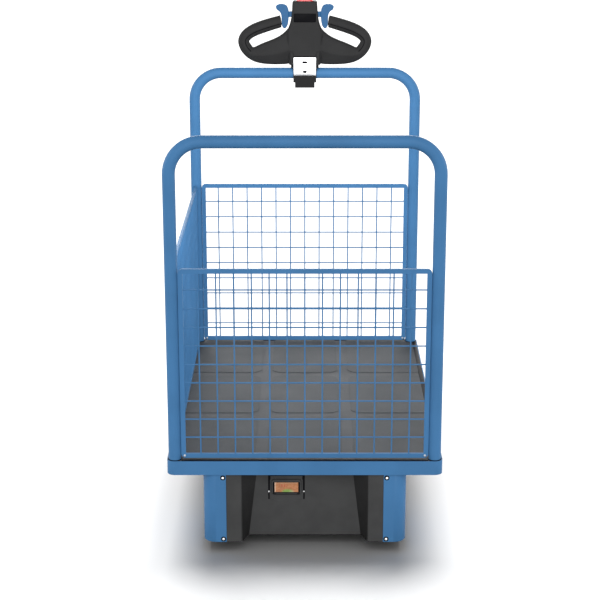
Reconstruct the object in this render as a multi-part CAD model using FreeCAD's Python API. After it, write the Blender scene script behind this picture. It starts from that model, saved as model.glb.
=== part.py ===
import FreeCAD, Part

import math
import os

from FreeCAD import Vector

# Electric platform cart with two tube hoops, three mesh panels, a driven front axle under a moulded
# cover, two swivel castors under the handle end and a control head on the handle hoop.
# Millimetres. +Z is up, +Y runs from the cover end to the handle end, +X is the open loading side.
# The origin is on the floor, under the middle of the deck.

# Deck
deck_length = 1000.0
deck_width = 700.0
rim_height = 37.0
rim_wall = 3.0
ledge_width = 25.0
board_thickness = 15.0
board_gap = 0.4
pad_relief = 1.5
pad_band = 30.0
middle_pad_width = 192.0
pad_radius = 30.0

# Hoops
tube_radius = 16.0
tube_wall = 2.0
leg_edge = 4.0
hoop_bend = 80.0
near_hoop_height = 834.0
handle_hoop_height = 856.0
socket_clearance = 0.3
socket_block = 46.0
socket_floor = 3.0

# Mesh panels
panel_height = 498.0
panel_lift = 3.0
panel_bar = 12.0
panel_depth = 6.0
panel_gap = 0.3
panel_corner = 12.0
mesh_wire_radius = 1.8
mesh_layer = 1.6
mesh_column_pitch = 43.4
mesh_row_pitch = 50.0
pin_radius = 2.5
pin_reach = 5.0
pin_clearance = 0.3
pin_inset = 60.0

# Chassis
beam_width = 30.0
rail_width = 40.0
rail_spacing = 200.0
rail_lap = 6.0

# Drive cover and its blue guard plates
cover_width = 515.0
wheel_box_gap = 32.25
wheel_headroom = 14.0
cover_setback = 12.5
cover_bottom = 28.0
cover_wall = 4.0
cover_corner = 30.0
guard_thickness = 2.5
guard_front = 59.0
recess_depth = 42.5
recess_front_half = 163.0
recess_top_half = 123.0
recess_bottom_half = 146.0

# Battery indicator
indicator_x = -47.4
indicator_drop = 56.0
display_width = 61.0
display_height = 26.0
bezel_margin = 8.0
bezel_depth = 6.0
display_proud = 1.0
display_clearance = 0.2
bezel_floor = 1.0
pocket_width = 94.0
pocket_drop = 93.0
pocket_depth = 2.0
pocket_radius = 15.0

# Drive wheels and axle
drive_wheel_radius = 100.0
drive_wheel_width = 50.0
drive_rim_radius = 70.0
drive_track = 420.0
stub_radius = 12.5
drive_boss_radius = 24.0
hub_overhang = 2.0
hub_web = 14.0
rim_band = 8.0
rim_inset = 2.0
tyre_shoulder = 7.0
running_clearance = 0.05
side_play = 0.5
stub_shoulder_radius = 18.0
stub_nut_radius = 19.0
stub_nut_height = 8.0
axle_tube_radius = 22.0
axle_flange_radius = 34.0
axle_flange_thickness = 6.0
gearbox_radius = 52.0
gearbox_width = 96.0
motor_radius = 44.0
motor_length = 100.0
bracket_wall = 6.0
bracket_half_gap = 148.0
bracket_width = 70.0
bracket_drop = 36.0

# Battery
battery_length = 210.0
battery_width = 340.0
battery_height = 100.0
battery_wall = 3.0
battery_clearance = 1.0
battery_gap = 40.0
battery_headroom = 4.0

# Castors
castor_track = 400.0
castor_inset = 160.0
castor_headroom = 11.7
castor_beam_gap = 25.0
castor_trail = 50.0
castor_wheel_radius = 80.0
castor_wheel_width = 40.0
castor_rim_radius = 58.0
castor_plate_width = 140.0
castor_plate_length = 110.0
castor_plate_thickness = 5.0
castor_plate_corner = 10.0
castor_hole_x = 105.0
castor_hole_y = 80.0
castor_hole_radius = 5.5
kingpin_radius = 10.0
kingpin_nut_radius = 14.0
kingpin_nut_height = 6.0
race_radius = 34.0
race_height = 12.0
bearing_gap = 0.3
crown_radius = 44.0
crown_thickness = 8.0
fork_wall = 4.0
fork_half_gap = 23.0
fork_root_front = 28.0
fork_root_back = 30.0
fork_root_depth = 3.0
fork_eye_radius = 16.0
castor_axle_radius = 6.0
castor_head_radius = 10.0
castor_head_height = 6.0
castor_boss_radius = 15.0

# Control head, with heights over the middle of the handle bar
head_depth = 44.0
head_top = 213.0
head_half_top = 36.6
head_waist = 183.0
head_half_waist = 38.1
head_flare = 131.0
head_half_flare = 50.0
head_foot = 118.0
head_half_foot = 60.0
head_bottom = 29.0
head_setback = -2.0
grip_radius = 14.5
wing_depth = 25.0
wing_lift = 3.0
lever_depth = 12.0
button_height = 5.0
button_half_x = 25.0
button_half_y = 15.0
button_corner = 8.0
window_half = 32.0
window_low = 153.0
window_high = 178.0
window_proud = 1.5

# Clamp that holds the head on the handle bar
clamp_half = 34.0
clamp_clearance = 0.2
clamp_rise = 18.0
clamp_drop = 25.0
clamp_foot_drop = 41.0
clamp_foot_inset = 5.0
clamp_neck_half = 41.0
clamp_neck_setback = 3.0
strap_thickness = 4.0
strap_inset = 1.0
strap_drop = 5.0
strap_rise = 50.0

# Places that follow from the sizes above
frame_bottom = 2 * drive_wheel_radius + wheel_headroom + cover_wall
deck_top = frame_bottom + rim_height
ledge_top = deck_top - board_thickness
ledge_bottom = ledge_top - rim_wall
crown_bottom = 2 * castor_wheel_radius + castor_headroom
race_bottom = crown_bottom + crown_thickness + bearing_gap
castor_top = race_bottom + race_height + castor_plate_thickness
beam_bottom = castor_top
leg_inset = tube_radius + leg_edge
leg_x = deck_width / 2 - leg_inset
leg_y = deck_length / 2 - leg_inset
near_bar_z = deck_top + near_hoop_height - tube_radius
handle_bar_z = deck_top + handle_hoop_height - tube_radius
cover_front = -deck_length / 2 + cover_setback
drive_y = cover_front + cover_wall + wheel_box_gap + drive_wheel_radius
drive_z = drive_wheel_radius
cover_back = drive_y + drive_wheel_radius + wheel_box_gap + cover_wall
cover_top = frame_bottom
recess_back = cover_front + recess_depth
indicator_z = cover_top - indicator_drop
pocket_bottom = cover_top - pocket_drop
battery_front = cover_back + battery_gap
castor_pivot_y = deck_length / 2 - castor_inset
head_y = leg_y + head_setback


def box(x0, x1, y0, y1, z0, z1):
    """A box between two corners."""
    return Part.makeBox(x1 - x0, y1 - y0, z1 - z0, Vector(x0, y0, z0))


def rod(radius, start, end):
    """A round bar between two points."""
    axis = Vector(*end) - Vector(*start)
    return Part.makeCylinder(radius, axis.Length, Vector(*start), axis)


def mirrored(shape):
    """The same piece on the other side of the middle plane."""
    return shape.mirror(Vector(0, 0, 0), Vector(1, 0, 0))


def both_sides(shape):
    """A piece and its mirror image, as two solids."""
    return Part.makeCompound([shape, mirrored(shape)])


def join(shapes):
    """One solid from pieces that overlap or share faces."""
    return shapes[0].multiFuse(shapes[1:]).removeSplitter()


def rounded_slab(x0, x1, y0, y1, z0, z1, radius):
    """A flat block with its four upright edges rounded."""
    corners = [(x0, y0), (x1, y0), (x1, y1), (x0, y1)]
    path = rounded_path([Vector(x, y, z0) for x, y in corners], radius, closed=True)
    return Part.Face(path).extrude(Vector(0, 0, z1 - z0))


def rounded_path(points, radius, closed=False):
    """Straight runs through the points, with an arc of one radius at each corner."""
    edges = []
    count = len(points)
    corners = range(count) if closed else range(1, count - 1)
    arcs = {i: corner_arc(points[i - 1], points[i], points[(i + 1) % count], radius) for i in corners}
    for i in range(count if closed else count - 1):
        j = (i + 1) % count
        start = arcs[i][2] if i in arcs else points[i]
        end = arcs[j][0] if j in arcs else points[j]
        if (end - start).Length > 1e-6:
            edges.append(Part.LineSegment(start, end).toShape())
        if j in arcs:
            edges.append(Part.Arc(*arcs[j]).toShape())
    return Part.Wire(edges)


def corner_arc(before, corner, after, radius):
    """Start, middle and end of the arc that rounds one corner."""
    inward = (before - corner).normalize()
    outward = (after - corner).normalize()
    half = inward.getAngle(outward) / 2
    reach = radius / math.tan(half)
    bisector = (inward + outward).normalize()
    centre = corner + bisector * (radius / math.sin(half))
    return corner + inward * reach, centre - bisector * radius, corner + outward * reach


def plate_xz(points, y0, y1):
    """A flat plate that stands across the cart: an outline in X and Z, from y0 to y1."""
    outline = Part.makePolygon([Vector(x, y0, z) for x, z in points + points[:1]])
    return Part.Face(outline).extrude(Vector(0, y1 - y0, 0))


def plate_yz(points, x0, x1):
    """A flat plate that stands along the cart: an outline in Y and Z, from x0 to x1."""
    outline = Part.makePolygon([Vector(x0, y, z) for y, z in points + points[:1]])
    return Part.Face(outline).extrude(Vector(x1 - x0, 0, 0))


def pipe(path, radius):
    """A solid round bar that follows a smooth path."""
    start = path.OrderedVertexes[0].Point
    direction = path.OrderedEdges[0].tangentAt(path.OrderedEdges[0].FirstParameter)
    section = Part.Wire(Part.makeCircle(radius, start, direction))
    return path.makePipeShell([section], True, True)


def turned(points, centre):
    """A solid of revolution about the X direction through centre, from points of (x, radius)."""
    cx, cy, cz = centre
    outline = Part.makePolygon([Vector(cx + x, cy, cz + r) for x, r in points + points[:1]])
    return Part.Face(outline).revolve(Vector(cx, cy, cz), Vector(1, 0, 0), 360)


# Deck


def deck_frame():
    """Folded rim with an inner ledge for the board and a socket block in each corner."""
    half_x = deck_width / 2
    half_y = deck_length / 2
    outer = rounded_slab(-half_x, half_x, -half_y, half_y, frame_bottom, deck_top, leg_inset)
    in_x = half_x - rim_wall
    in_y = half_y - rim_wall
    in_radius = leg_inset - rim_wall
    hollow = rounded_slab(-in_x, in_x, -in_y, in_y, ledge_top, deck_top + 1, in_radius)
    below = rounded_slab(-in_x, in_x, -in_y, in_y, frame_bottom - 1, ledge_bottom, in_radius)
    ledge_x = in_x - ledge_width
    ledge_y = in_y - ledge_width
    window = box(-ledge_x, ledge_x, -ledge_y, ledge_y, ledge_bottom - 1, ledge_top + 1)
    rim = outer.cut(hollow).cut(below).cut(window)
    blocks = [socket(sx, sy) for sx in (-1, 1) for sy in (-1, 1)]
    frame = join([rim] + blocks)
    for sx in (-1, 1):
        for sy in (-1, 1):
            frame = frame.cut(socket_bore(sx, sy))
    return frame


def socket(side, end):
    """Solid block that fills one corner of the rim below the board."""
    x = side * (deck_width / 2 - rim_wall - socket_block / 2)
    y = end * (deck_length / 2 - rim_wall - socket_block / 2)
    half = socket_block / 2
    block = box(x - half, x + half, y - half, y + half, frame_bottom, ledge_top)
    half_x = deck_width / 2 - rim_wall / 2
    half_y = deck_length / 2 - rim_wall / 2
    limit = rounded_slab(-half_x, half_x, -half_y, half_y, frame_bottom, ledge_top, leg_inset - rim_wall / 2)
    return block.common(limit)


def socket_bore(side, end):
    """Hole that a hoop leg drops into, with a floor that carries the leg."""
    bottom = frame_bottom + socket_floor
    centre = (side * leg_x, end * leg_y)
    return rod(tube_radius + socket_clearance, (*centre, bottom), (*centre, deck_top + 1))


def pad_edges(half, pad_half):
    """Low and high edge of the outer and middle pads along one direction."""
    return [(-half, -pad_half - pad_band), (-pad_half, pad_half), (pad_half + pad_band, half)]


def deck_board():
    """Load board with nine raised pads, notched round the hoop legs."""
    half_x = deck_width / 2 - rim_wall - board_gap
    half_y = deck_length / 2 - rim_wall - board_gap
    radius = leg_inset - rim_wall - board_gap
    base_top = deck_top - pad_relief
    board = rounded_slab(-half_x, half_x, -half_y, half_y, ledge_top, base_top, radius)
    columns = pad_edges(half_x, middle_pad_width / 2)
    rows = pad_edges(half_y, (deck_length / 3 - pad_band) / 2)
    pads = []
    for x0, x1 in columns:
        for y0, y1 in rows:
            pads.append(rounded_slab(x0, x1, y0, y1, ledge_top + 1, deck_top, pad_radius))
    outline = rounded_slab(-half_x, half_x, -half_y, half_y, ledge_top, deck_top, radius)
    board = join([board] + pads).common(outline)
    for sx in (-1, 1):
        for sy in (-1, 1):
            foot = (sx * leg_x, sy * leg_y, frame_bottom)
            head = (sx * leg_x, sy * leg_y, deck_top + 1)
            board = board.cut(rod(tube_radius + 2 * socket_clearance, foot, head))
    return board


def chassis_beams():
    """Welded ladder of two long rails and five cross beams, hung from the ledge."""
    ledge_x = deck_width / 2 - rim_wall - ledge_width - board_gap
    wall_x = deck_width / 2 - rim_wall
    socket_x = wall_x - socket_block
    end_y = deck_length / 2 - rim_wall - ledge_width - board_gap
    pieces = []
    behind_battery = battery_front + battery_length + battery_gap / 2
    castor_beams = [castor_pivot_y - castor_beam_gap - beam_width, castor_pivot_y + castor_beam_gap]
    for y in [battery_front - beam_width, behind_battery] + castor_beams:
        pieces.append(box(-ledge_x, ledge_x, y, y + beam_width, beam_bottom, ledge_top))
        pieces.append(box(-wall_x, wall_x, y, y + beam_width, beam_bottom, ledge_bottom))
    front = -end_y
    front_end = front + rail_width
    pieces.append(box(-socket_x, socket_x, front, front_end, cover_top, ledge_top))
    pieces.append(box(-socket_x, socket_x, end_y - beam_width, end_y, beam_bottom, ledge_top))
    for side in (-1, 1):
        x = side * rail_spacing / 2
        half = rail_width / 2
        start = front_end - rail_lap
        pieces.append(box(x - half, x + half, start, end_y, beam_bottom, ledge_top))
    return join(pieces)


# Hoops


def hoop(end, bar_z):
    """Bent tube: two legs and a top bar, with holes for the panel pins."""
    y = end * leg_y
    foot = frame_bottom + socket_floor
    corners = [(-leg_x, foot), (-leg_x, bar_z), (leg_x, bar_z), (leg_x, foot)]
    path = rounded_path([Vector(x, y, z) for x, z in corners], hoop_bend)
    bore = pipe(path, tube_radius - tube_wall)
    tube = pipe(path, tube_radius).cut(bore)
    for z in pin_heights():
        tube = tube.cut(rod(pin_radius + pin_clearance, (-leg_x, y, z), (leg_x, y, z)))
        tube = tube.cut(rod(pin_radius + pin_clearance, (-leg_x, y, z), (-leg_x, 0, z)))
    return tube


def pin_heights():
    """Heights of the two pins on each side of a panel."""
    low = deck_top + panel_lift
    return [low + pin_inset, low + panel_height - pin_inset]


# Mesh panels


def panel_frame(length):
    """Frame of flat bar with rounded corners, standing in the XZ plane."""
    half = length / 2
    low = deck_top + panel_lift
    high = low + panel_height
    outer = upright_slab(-half, half, low, high, panel_corner)
    inner = box(-half + panel_bar, half - panel_bar, -panel_depth, panel_depth, low + panel_bar, high - panel_bar)
    return outer.cut(inner)


def upright_slab(x0, x1, z0, z1, radius):
    """Flat block of the panel's thickness with rounded corners, standing in the XZ plane."""
    corners = [(x0, z0), (x1, z0), (x1, z1), (x0, z1)]
    path = rounded_path([Vector(x, -panel_depth / 2, z) for x, z in corners], radius, closed=True)
    return Part.Face(path).extrude(Vector(0, panel_depth, 0))


def panel(length, reach):
    """One mesh panel: frame, upright wires, level wires and the pins that hang it on the tubes."""
    low = deck_top + panel_lift
    buried = panel_bar / 2
    half = length / 2
    columns = round((length - panel_bar) / mesh_column_pitch)
    column_pitch = (length - panel_bar) / columns
    rows = round((panel_height - panel_bar) / mesh_row_pitch)
    row_pitch = (panel_height - panel_bar) / rows
    pieces = [panel_frame(length)]
    for i in range(1, columns):
        x = -half + buried + i * column_pitch
        foot = (x, -mesh_layer, low + buried)
        pieces.append(rod(mesh_wire_radius, foot, (x, -mesh_layer, low + panel_height - buried)))
    for i in range(1, rows):
        z = low + buried + i * row_pitch
        pieces.append(rod(mesh_wire_radius, (-half + buried, mesh_layer, z), (half - buried, mesh_layer, z)))
    for z in pin_heights():
        for side in (-1, 1):
            pieces.append(rod(pin_radius, (side * (half - buried), 0, z), (side * reach, 0, z)))
    return join(pieces)


def end_panel(end):
    """Panel between the two legs of one hoop."""
    inside = 2 * (leg_x - tube_radius - panel_gap)
    shape = panel(inside, leg_x - tube_radius + pin_reach)
    shape.translate(Vector(0, end * leg_y, 0))
    return shape


def side_panel():
    """Panel between the two hoops, on the closed side of the cart."""
    inside = 2 * (leg_y - tube_radius - panel_gap)
    shape = panel(inside, leg_y - tube_radius + pin_reach)
    shape.rotate(Vector(0, 0, 0), Vector(0, 0, 1), 90)
    shape.translate(Vector(-leg_x, 0, 0))
    return shape


# Drive cover


def recess_half(z):
    """Half width of the recess at its back, which narrows towards the top."""
    share = (z - cover_bottom) / (cover_top - cover_bottom)
    return recess_bottom_half + share * (recess_top_half - recess_bottom_half)


def drafted(outline):
    """Solid between an outline under the cover and the same outline over it."""
    low = cover_bottom - 10
    high = cover_top + 10
    wires = []
    for z in (low, high):
        points = [Vector(x, y, z) for x, y in outline(recess_half(z))]
        wires.append(Part.makePolygon(points + points[:1]))
    return Part.makeLoft(wires, True, True)


def recess_outline(half):
    """Plan of the recess between the wheel boxes."""
    front = cover_front - 10
    side = recess_front_half
    left = [(-side, front), (-side, cover_front), (-half, recess_back)]
    return left + [(-x, y) for x, y in reversed(left)]


def cavity_outline(half):
    """Plan of the hollow behind the recess, one wall inside it."""
    slope = recess_depth / (recess_front_half - half)
    shift = cover_wall * math.sqrt(1 + slope * slope)
    side_y = cover_front + shift
    back_y = recess_back + cover_wall
    back_x = recess_front_half - (back_y - side_y) / slope
    left = [(-recess_front_half, cover_back + 10), (-recess_front_half, side_y), (-back_x, back_y)]
    return left + [(-x, y) for x, y in reversed(left)]


def wheel_box_hollow():
    """Space inside the right wheel box, open at the bottom."""
    x0 = recess_front_half + cover_wall
    x1 = cover_width / 2 - cover_wall
    y0 = cover_front + cover_wall
    y1 = cover_back - cover_wall
    return rounded_slab(x0, x1, y0, y1, cover_bottom - 10, cover_top - cover_wall, cover_corner - cover_wall)


def drive_cover():
    """Moulded cover: two wheel boxes and a recessed middle face with the indicator pocket."""
    half = cover_width / 2
    body = rounded_slab(-half, half, cover_front, cover_back, cover_bottom, cover_top, cover_corner)
    body = body.cut(drafted(recess_outline)).cut(drafted(cavity_outline))
    hollow = wheel_box_hollow()
    body = body.cut(hollow).cut(mirrored(hollow))
    body = body.cut(indicator_pocket())
    reach = recess_front_half + cover_wall + 1
    return body.cut(rod(axle_tube_radius, (-reach, drive_y, drive_z), (reach, drive_y, drive_z)))


def indicator_pocket():
    """Shallow pocket in the middle face round the indicator."""
    x0 = indicator_x - pocket_width / 2
    x1 = indicator_x + pocket_width / 2
    corners = [(x0, pocket_bottom), (x1, pocket_bottom), (x1, cover_top + 20), (x0, cover_top + 20)]
    points = [Vector(x, recess_back - 5, z) for x, z in corners]
    return Part.Face(rounded_path(points, pocket_radius, closed=True)).extrude(Vector(0, 5 + pocket_depth, 0))


def guard_plate():
    """Bent sheet that wraps the front, outer side and back of the right wheel box."""
    half = cover_width / 2
    t = guard_thickness
    y0 = cover_front - t
    y1 = cover_back + t
    outer = rounded_slab(-half - t, half + t, y0, y1, cover_bottom, cover_top, cover_corner + t)
    inner = rounded_slab(-half, half, y0 + t, y1 - t, cover_bottom - 1, cover_top + 1, cover_corner)
    keep = box(half + t - guard_front, half + t + 1, y0, y1, cover_bottom, cover_top)
    return outer.cut(inner).common(keep)


def indicator_bezel():
    """Frame round the display, seated in the pocket."""
    half_x = display_width / 2 + bezel_margin
    half_z = display_height / 2 + bezel_margin
    seat = recess_back + pocket_depth
    x = indicator_x
    z = indicator_z
    body = box(x - half_x, x + half_x, seat - bezel_depth, seat, z - half_z, z + half_z)
    cut_x = display_width / 2 + display_clearance
    cut_z = display_height / 2 + display_clearance
    floor = seat - bezel_floor
    return body.cut(box(x - cut_x, x + cut_x, seat - bezel_depth - 1, floor, z - cut_z, z + cut_z))


def indicator_display():
    """Face of the battery indicator, inside its bezel."""
    half_x = display_width / 2
    half_z = display_height / 2
    floor = recess_back + pocket_depth - bezel_floor
    face = recess_back + pocket_depth - bezel_depth + display_proud
    x = indicator_x
    z = indicator_z
    return box(x - half_x, x + half_x, face, floor, z - half_z, z + half_z)


# Drive axle and wheels


def axle_housing():
    """Gearbox with an axle tube to each side, ending in flanges on the brackets."""
    centre = (0, drive_y, drive_z)
    end = bracket_half_gap
    inner = end - axle_flange_thickness
    half_box = gearbox_width / 2
    outline = [(-end, 0), (-end, axle_flange_radius), (-inner, axle_flange_radius)]
    outline += [(-inner, axle_tube_radius)]
    outline += [(-half_box, axle_tube_radius), (-half_box, gearbox_radius)]
    outline += [(-x, r) for x, r in reversed(outline)]
    return turned(outline, centre)


def drive_motor():
    """Electric motor behind the gearbox, as one plain block."""
    start = drive_y + gearbox_radius
    return rod(motor_radius, (0, start, drive_z), (0, start + motor_length, drive_z))


def drive_bracket():
    """Angle plate that hangs from the right rail and carries the axle."""
    x0 = bracket_half_gap
    x1 = x0 + bracket_wall
    y0 = drive_y - bracket_width / 2
    y1 = drive_y + bracket_width / 2
    upright = box(x0, x1, y0, y1, drive_z - bracket_drop, beam_bottom)
    flange = box(rail_spacing / 2 - rail_width / 2, x1, y0, y1, beam_bottom - bracket_wall, beam_bottom)
    hole = rod(stub_radius + running_clearance, (0, drive_y, drive_z), (x1 + 1, drive_y, drive_z))
    return join([upright, flange]).cut(hole)


def stub_axle():
    """Fixed axle that the right drive wheel turns on, with a shoulder and a nut."""
    centre = (0, drive_y, drive_z)
    hub_half = drive_wheel_width / 2 + hub_overhang + side_play
    shoulder = drive_track / 2 - hub_half
    nut = drive_track / 2 + hub_half
    end = nut + stub_nut_height
    x0 = bracket_half_gap
    x1 = x0 + bracket_wall
    outline = [(x0, 0), (x0, stub_radius), (x1, stub_radius), (x1, stub_shoulder_radius)]
    outline += [(shoulder, stub_shoulder_radius), (shoulder, stub_radius), (nut, stub_radius)]
    outline += [(nut, stub_nut_radius), (end, stub_nut_radius), (end, 0)]
    return turned(outline, centre)


def wheel_hub(centre, bore, boss, boss_half, rim, width):
    """Wheel centre: boss, web and rim band."""
    web_half = hub_web / 2
    rim_half = width / 2 - rim_inset
    half = [(-boss_half, bore), (-boss_half, boss), (-web_half, boss), (-web_half, rim - rim_band)]
    half += [(-rim_half, rim - rim_band), (-rim_half, rim)]
    return turned(half + [(-x, r) for x, r in reversed(half)], centre)


def wheel_tyre(centre, rim, radius, width):
    """Solid tyre with rounded shoulders on the rim band."""
    half = width / 2
    shoulder = tyre_shoulder
    cx, cy, cz = centre
    left = Vector(cx - half, cy, cz + rim)
    right = Vector(cx + half, cy, cz + rim)
    up_left = Vector(cx - half, cy, cz + radius - shoulder)
    up_right = Vector(cx + half, cy, cz + radius - shoulder)
    top_left = Vector(cx - half + shoulder, cy, cz + radius)
    top_right = Vector(cx + half - shoulder, cy, cz + radius)
    turn = shoulder * (1 - math.sqrt(0.5))
    mid_left = Vector(cx - half + turn, cy, cz + radius - turn)
    mid_right = Vector(cx + half - turn, cy, cz + radius - turn)
    edges = [
        Part.LineSegment(left, up_left).toShape(),
        Part.Arc(up_left, mid_left, top_left).toShape(),
        Part.LineSegment(top_left, top_right).toShape(),
        Part.Arc(top_right, mid_right, up_right).toShape(),
        Part.LineSegment(up_right, right).toShape(),
        Part.LineSegment(right, left).toShape(),
    ]
    return Part.Face(Part.Wire(edges)).revolve(Vector(*centre), Vector(1, 0, 0), 360)


def drive_wheel(side):
    """Hub and tyre of one drive wheel."""
    centre = (side * drive_track / 2, drive_y, drive_z)
    boss_half = drive_wheel_width / 2 + hub_overhang
    bore = stub_radius + running_clearance
    hub = wheel_hub(centre, bore, drive_boss_radius, boss_half, drive_rim_radius, drive_wheel_width)
    return hub, wheel_tyre(centre, drive_rim_radius, drive_wheel_radius, drive_wheel_width)


# Battery


def battery_box():
    """Open-topped steel box that hangs from the chassis beams."""
    half = battery_width / 2 + battery_clearance + battery_wall
    y0 = battery_front
    y1 = y0 + battery_length + 2 * (battery_clearance + battery_wall)
    z0 = beam_bottom - battery_height - battery_wall
    outer = box(-half, half, y0, y1, z0, beam_bottom)
    w = battery_wall
    return outer.cut(box(-half + w, half - w, y0 + w, y1 - w, z0 + w, beam_bottom + 1))


def battery_block():
    """Battery pack as one plain block on the floor of its box."""
    half = battery_width / 2
    y0 = battery_front + battery_wall + battery_clearance
    z0 = beam_bottom - battery_height
    return box(-half, half, y0, y0 + battery_length, z0, beam_bottom - battery_headroom)


# Castors


def castor_mount(side):
    """Top plate with bearing race, kingpin and nut of one castor."""
    x = side * castor_track / 2
    y = castor_pivot_y
    half_x = castor_plate_width / 2
    half_y = castor_plate_length / 2
    plate_bottom = race_bottom + race_height
    corner = castor_plate_corner
    plate = rounded_slab(x - half_x, x + half_x, y - half_y, y + half_y, plate_bottom, castor_top, corner)
    for dx in (-castor_hole_x / 2, castor_hole_x / 2):
        for dy in (-castor_hole_y / 2, castor_hole_y / 2):
            foot = (x + dx, y + dy, plate_bottom - 1)
            plate = plate.cut(rod(castor_hole_radius, foot, (x + dx, y + dy, castor_top + 1)))
    nut_top = crown_bottom - bearing_gap
    nut_bottom = nut_top - kingpin_nut_height
    race = rod(race_radius, (x, y, race_bottom), (x, y, plate_bottom))
    pin = rod(kingpin_radius, (x, y, nut_bottom), (x, y, plate_bottom))
    nut = rod(kingpin_nut_radius, (x, y, nut_bottom), (x, y, nut_top))
    return join([plate, race, pin, nut])


def castor_fork(side):
    """Fork that turns on the kingpin and holds the wheel's axle."""
    x = side * castor_track / 2
    y = castor_pivot_y
    crown_top = crown_bottom + crown_thickness
    crown = rod(crown_radius, (x, y, crown_bottom), (x, y, crown_top))
    axle_y = y + castor_trail
    axle_z = castor_wheel_radius
    root_z = crown_top - fork_root_depth
    eye = fork_eye_radius
    outline = [(y - fork_root_front, root_z), (y + fork_root_back, root_z)]
    outline += [(axle_y + eye - 0.5, axle_z), (axle_y - eye + 0.5, axle_z)]
    pieces = [crown]
    for x0 in (x - fork_half_gap - fork_wall, x + fork_half_gap):
        pieces.append(plate_yz(outline, x0, x0 + fork_wall))
        pieces.append(rod(eye, (x0, axle_y, axle_z), (x0 + fork_wall, axle_y, axle_z)))
    fork = join(pieces)
    fork = fork.cut(rod(kingpin_radius + running_clearance, (x, y, crown_bottom - 1), (x, y, crown_top + 1)))
    reach = fork_half_gap + fork_wall + 1
    return fork.cut(rod(castor_axle_radius, (x - reach, axle_y, axle_z), (x + reach, axle_y, axle_z)))


def castor_axle(side):
    """Bolt through the fork with a head and a nut."""
    centre = (side * castor_track / 2, castor_pivot_y + castor_trail, castor_wheel_radius)
    out = fork_half_gap + fork_wall
    end = out + castor_head_height
    half = [(-end, 0), (-end, castor_head_radius), (-out, castor_head_radius), (-out, castor_axle_radius)]
    return turned(half + [(-x, r) for x, r in reversed(half)], centre)


def castor_wheel(side):
    """Hub and tyre of one castor wheel."""
    centre = (side * castor_track / 2, castor_pivot_y + castor_trail, castor_wheel_radius)
    boss_half = fork_half_gap - side_play
    bore = castor_axle_radius + running_clearance
    hub = wheel_hub(centre, bore, castor_boss_radius, boss_half, castor_rim_radius, castor_wheel_width)
    return hub, wheel_tyre(centre, castor_rim_radius, castor_wheel_radius, castor_wheel_width)


# Control head


def above_bar(points):
    """Points given as x and height over the middle of the handle bar, in the cart's own places."""
    return [(x, handle_bar_z + z) for x, z in points]


def head_half(z):
    """Half width of the head's face between its shoulders, at a height over the bar."""
    share = (head_waist - z) / (head_waist - head_flare)
    return head_half_waist + share * (head_half_flare - head_half_waist)


def head_body():
    """Middle of the control head, wider towards its foot."""
    right = [(head_half_top, head_top), (head_half_waist, head_waist), (head_half_flare, head_flare)]
    right += [(head_half_foot, head_foot), (head_half_foot, head_bottom)]
    outline = right + [(-x, z) for x, z in reversed(right)]
    y0 = head_y - head_depth / 2
    return plate_xz(above_bar(outline), y0, y0 + head_depth)


def hand_loop(side):
    """Grip that sweeps out, round and back into the foot of the head."""
    bottom = head_bottom + grip_radius
    route = [(72.4, 155.5), (150, 132), (186, 96), (158, 50), (118, bottom), (head_half_foot, bottom)]
    points = [Vector(side * x, head_y, z) for x, z in above_bar(route)]
    grip = pipe(grip_path(points), grip_radius)
    wing_bottom = head_bottom + wing_lift
    wing = [(head_half_foot, head_foot), (150, 80), (164, 62), (122, wing_bottom)]
    wing.append((head_half_foot, wing_bottom))
    y0 = head_y - wing_depth / 2
    plate = plate_xz(above_bar([(side * x, z) for x, z in wing]), y0, y0 + wing_depth)
    return join([grip, plate])


def grip_path(points):
    """Straight runs joined by arcs as large as the runs allow."""
    edges = []
    start = points[0]
    for i in range(1, len(points) - 1):
        before = (points[i - 1] - points[i])
        after = (points[i + 1] - points[i])
        half = before.getAngle(after) / 2
        radius = 0.45 * min(before.Length, after.Length) * math.tan(half)
        arc = corner_arc(points[i - 1], points[i], points[i + 1], radius)
        edges.append(Part.LineSegment(start, arc[0]).toShape())
        edges.append(Part.Arc(*arc).toShape())
        start = arc[2]
    edges.append(Part.LineSegment(start, points[-1]).toShape())
    return Part.Wire(edges)


def thumb_lever(side):
    """Butterfly speed lever between the head and the grip."""
    outline = [(head_half(168), 168), (head_half(181), 181), (49, 184), (50, 194), (56, 203), (78, 203)]
    outline += [(86, 197), (83, 187), (72, 180), (70, 169), (70.5, 153), (66.5, 138), (58.5, 133)]
    outline += [(51, 141), (47.5, 166)]
    y0 = head_y - lever_depth / 2
    return plate_xz(above_bar([(side * x, z) for x, z in outline]), y0, y0 + lever_depth)


def belly_button():
    """Reversing button on top of the head."""
    low = handle_bar_z + head_top
    y0 = head_y - button_half_y
    y1 = head_y + button_half_y
    return rounded_slab(-button_half_x, button_half_x, y0, y1, low, low + button_height, button_corner)


def head_window():
    """Dark window set on the face of the head."""
    face = head_y - head_depth / 2
    low = handle_bar_z + window_low
    high = handle_bar_z + window_high
    return box(-window_half, window_half, face - window_proud, face, low, high)


def bar_clamp():
    """Block that grips the handle bar and carries the head."""
    z = handle_bar_z
    y0 = head_y - head_depth / 2
    y1 = leg_y + leg_inset
    foot_half = clamp_half - clamp_foot_inset
    middle = box(-clamp_half, clamp_half, y0, y1, z - clamp_drop, z + clamp_rise)
    foot = box(-foot_half, foot_half, y0, y1, z - clamp_foot_drop, z - clamp_drop)
    neck_y = y0 + clamp_neck_setback
    neck = box(-clamp_neck_half, clamp_neck_half, neck_y, y1, z + clamp_rise, z + head_bottom)
    block = join([middle, foot, neck])
    reach = clamp_neck_half + 1
    return block.cut(rod(tube_radius + clamp_clearance, (-reach, leg_y, z), (reach, leg_y, z)))


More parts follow.
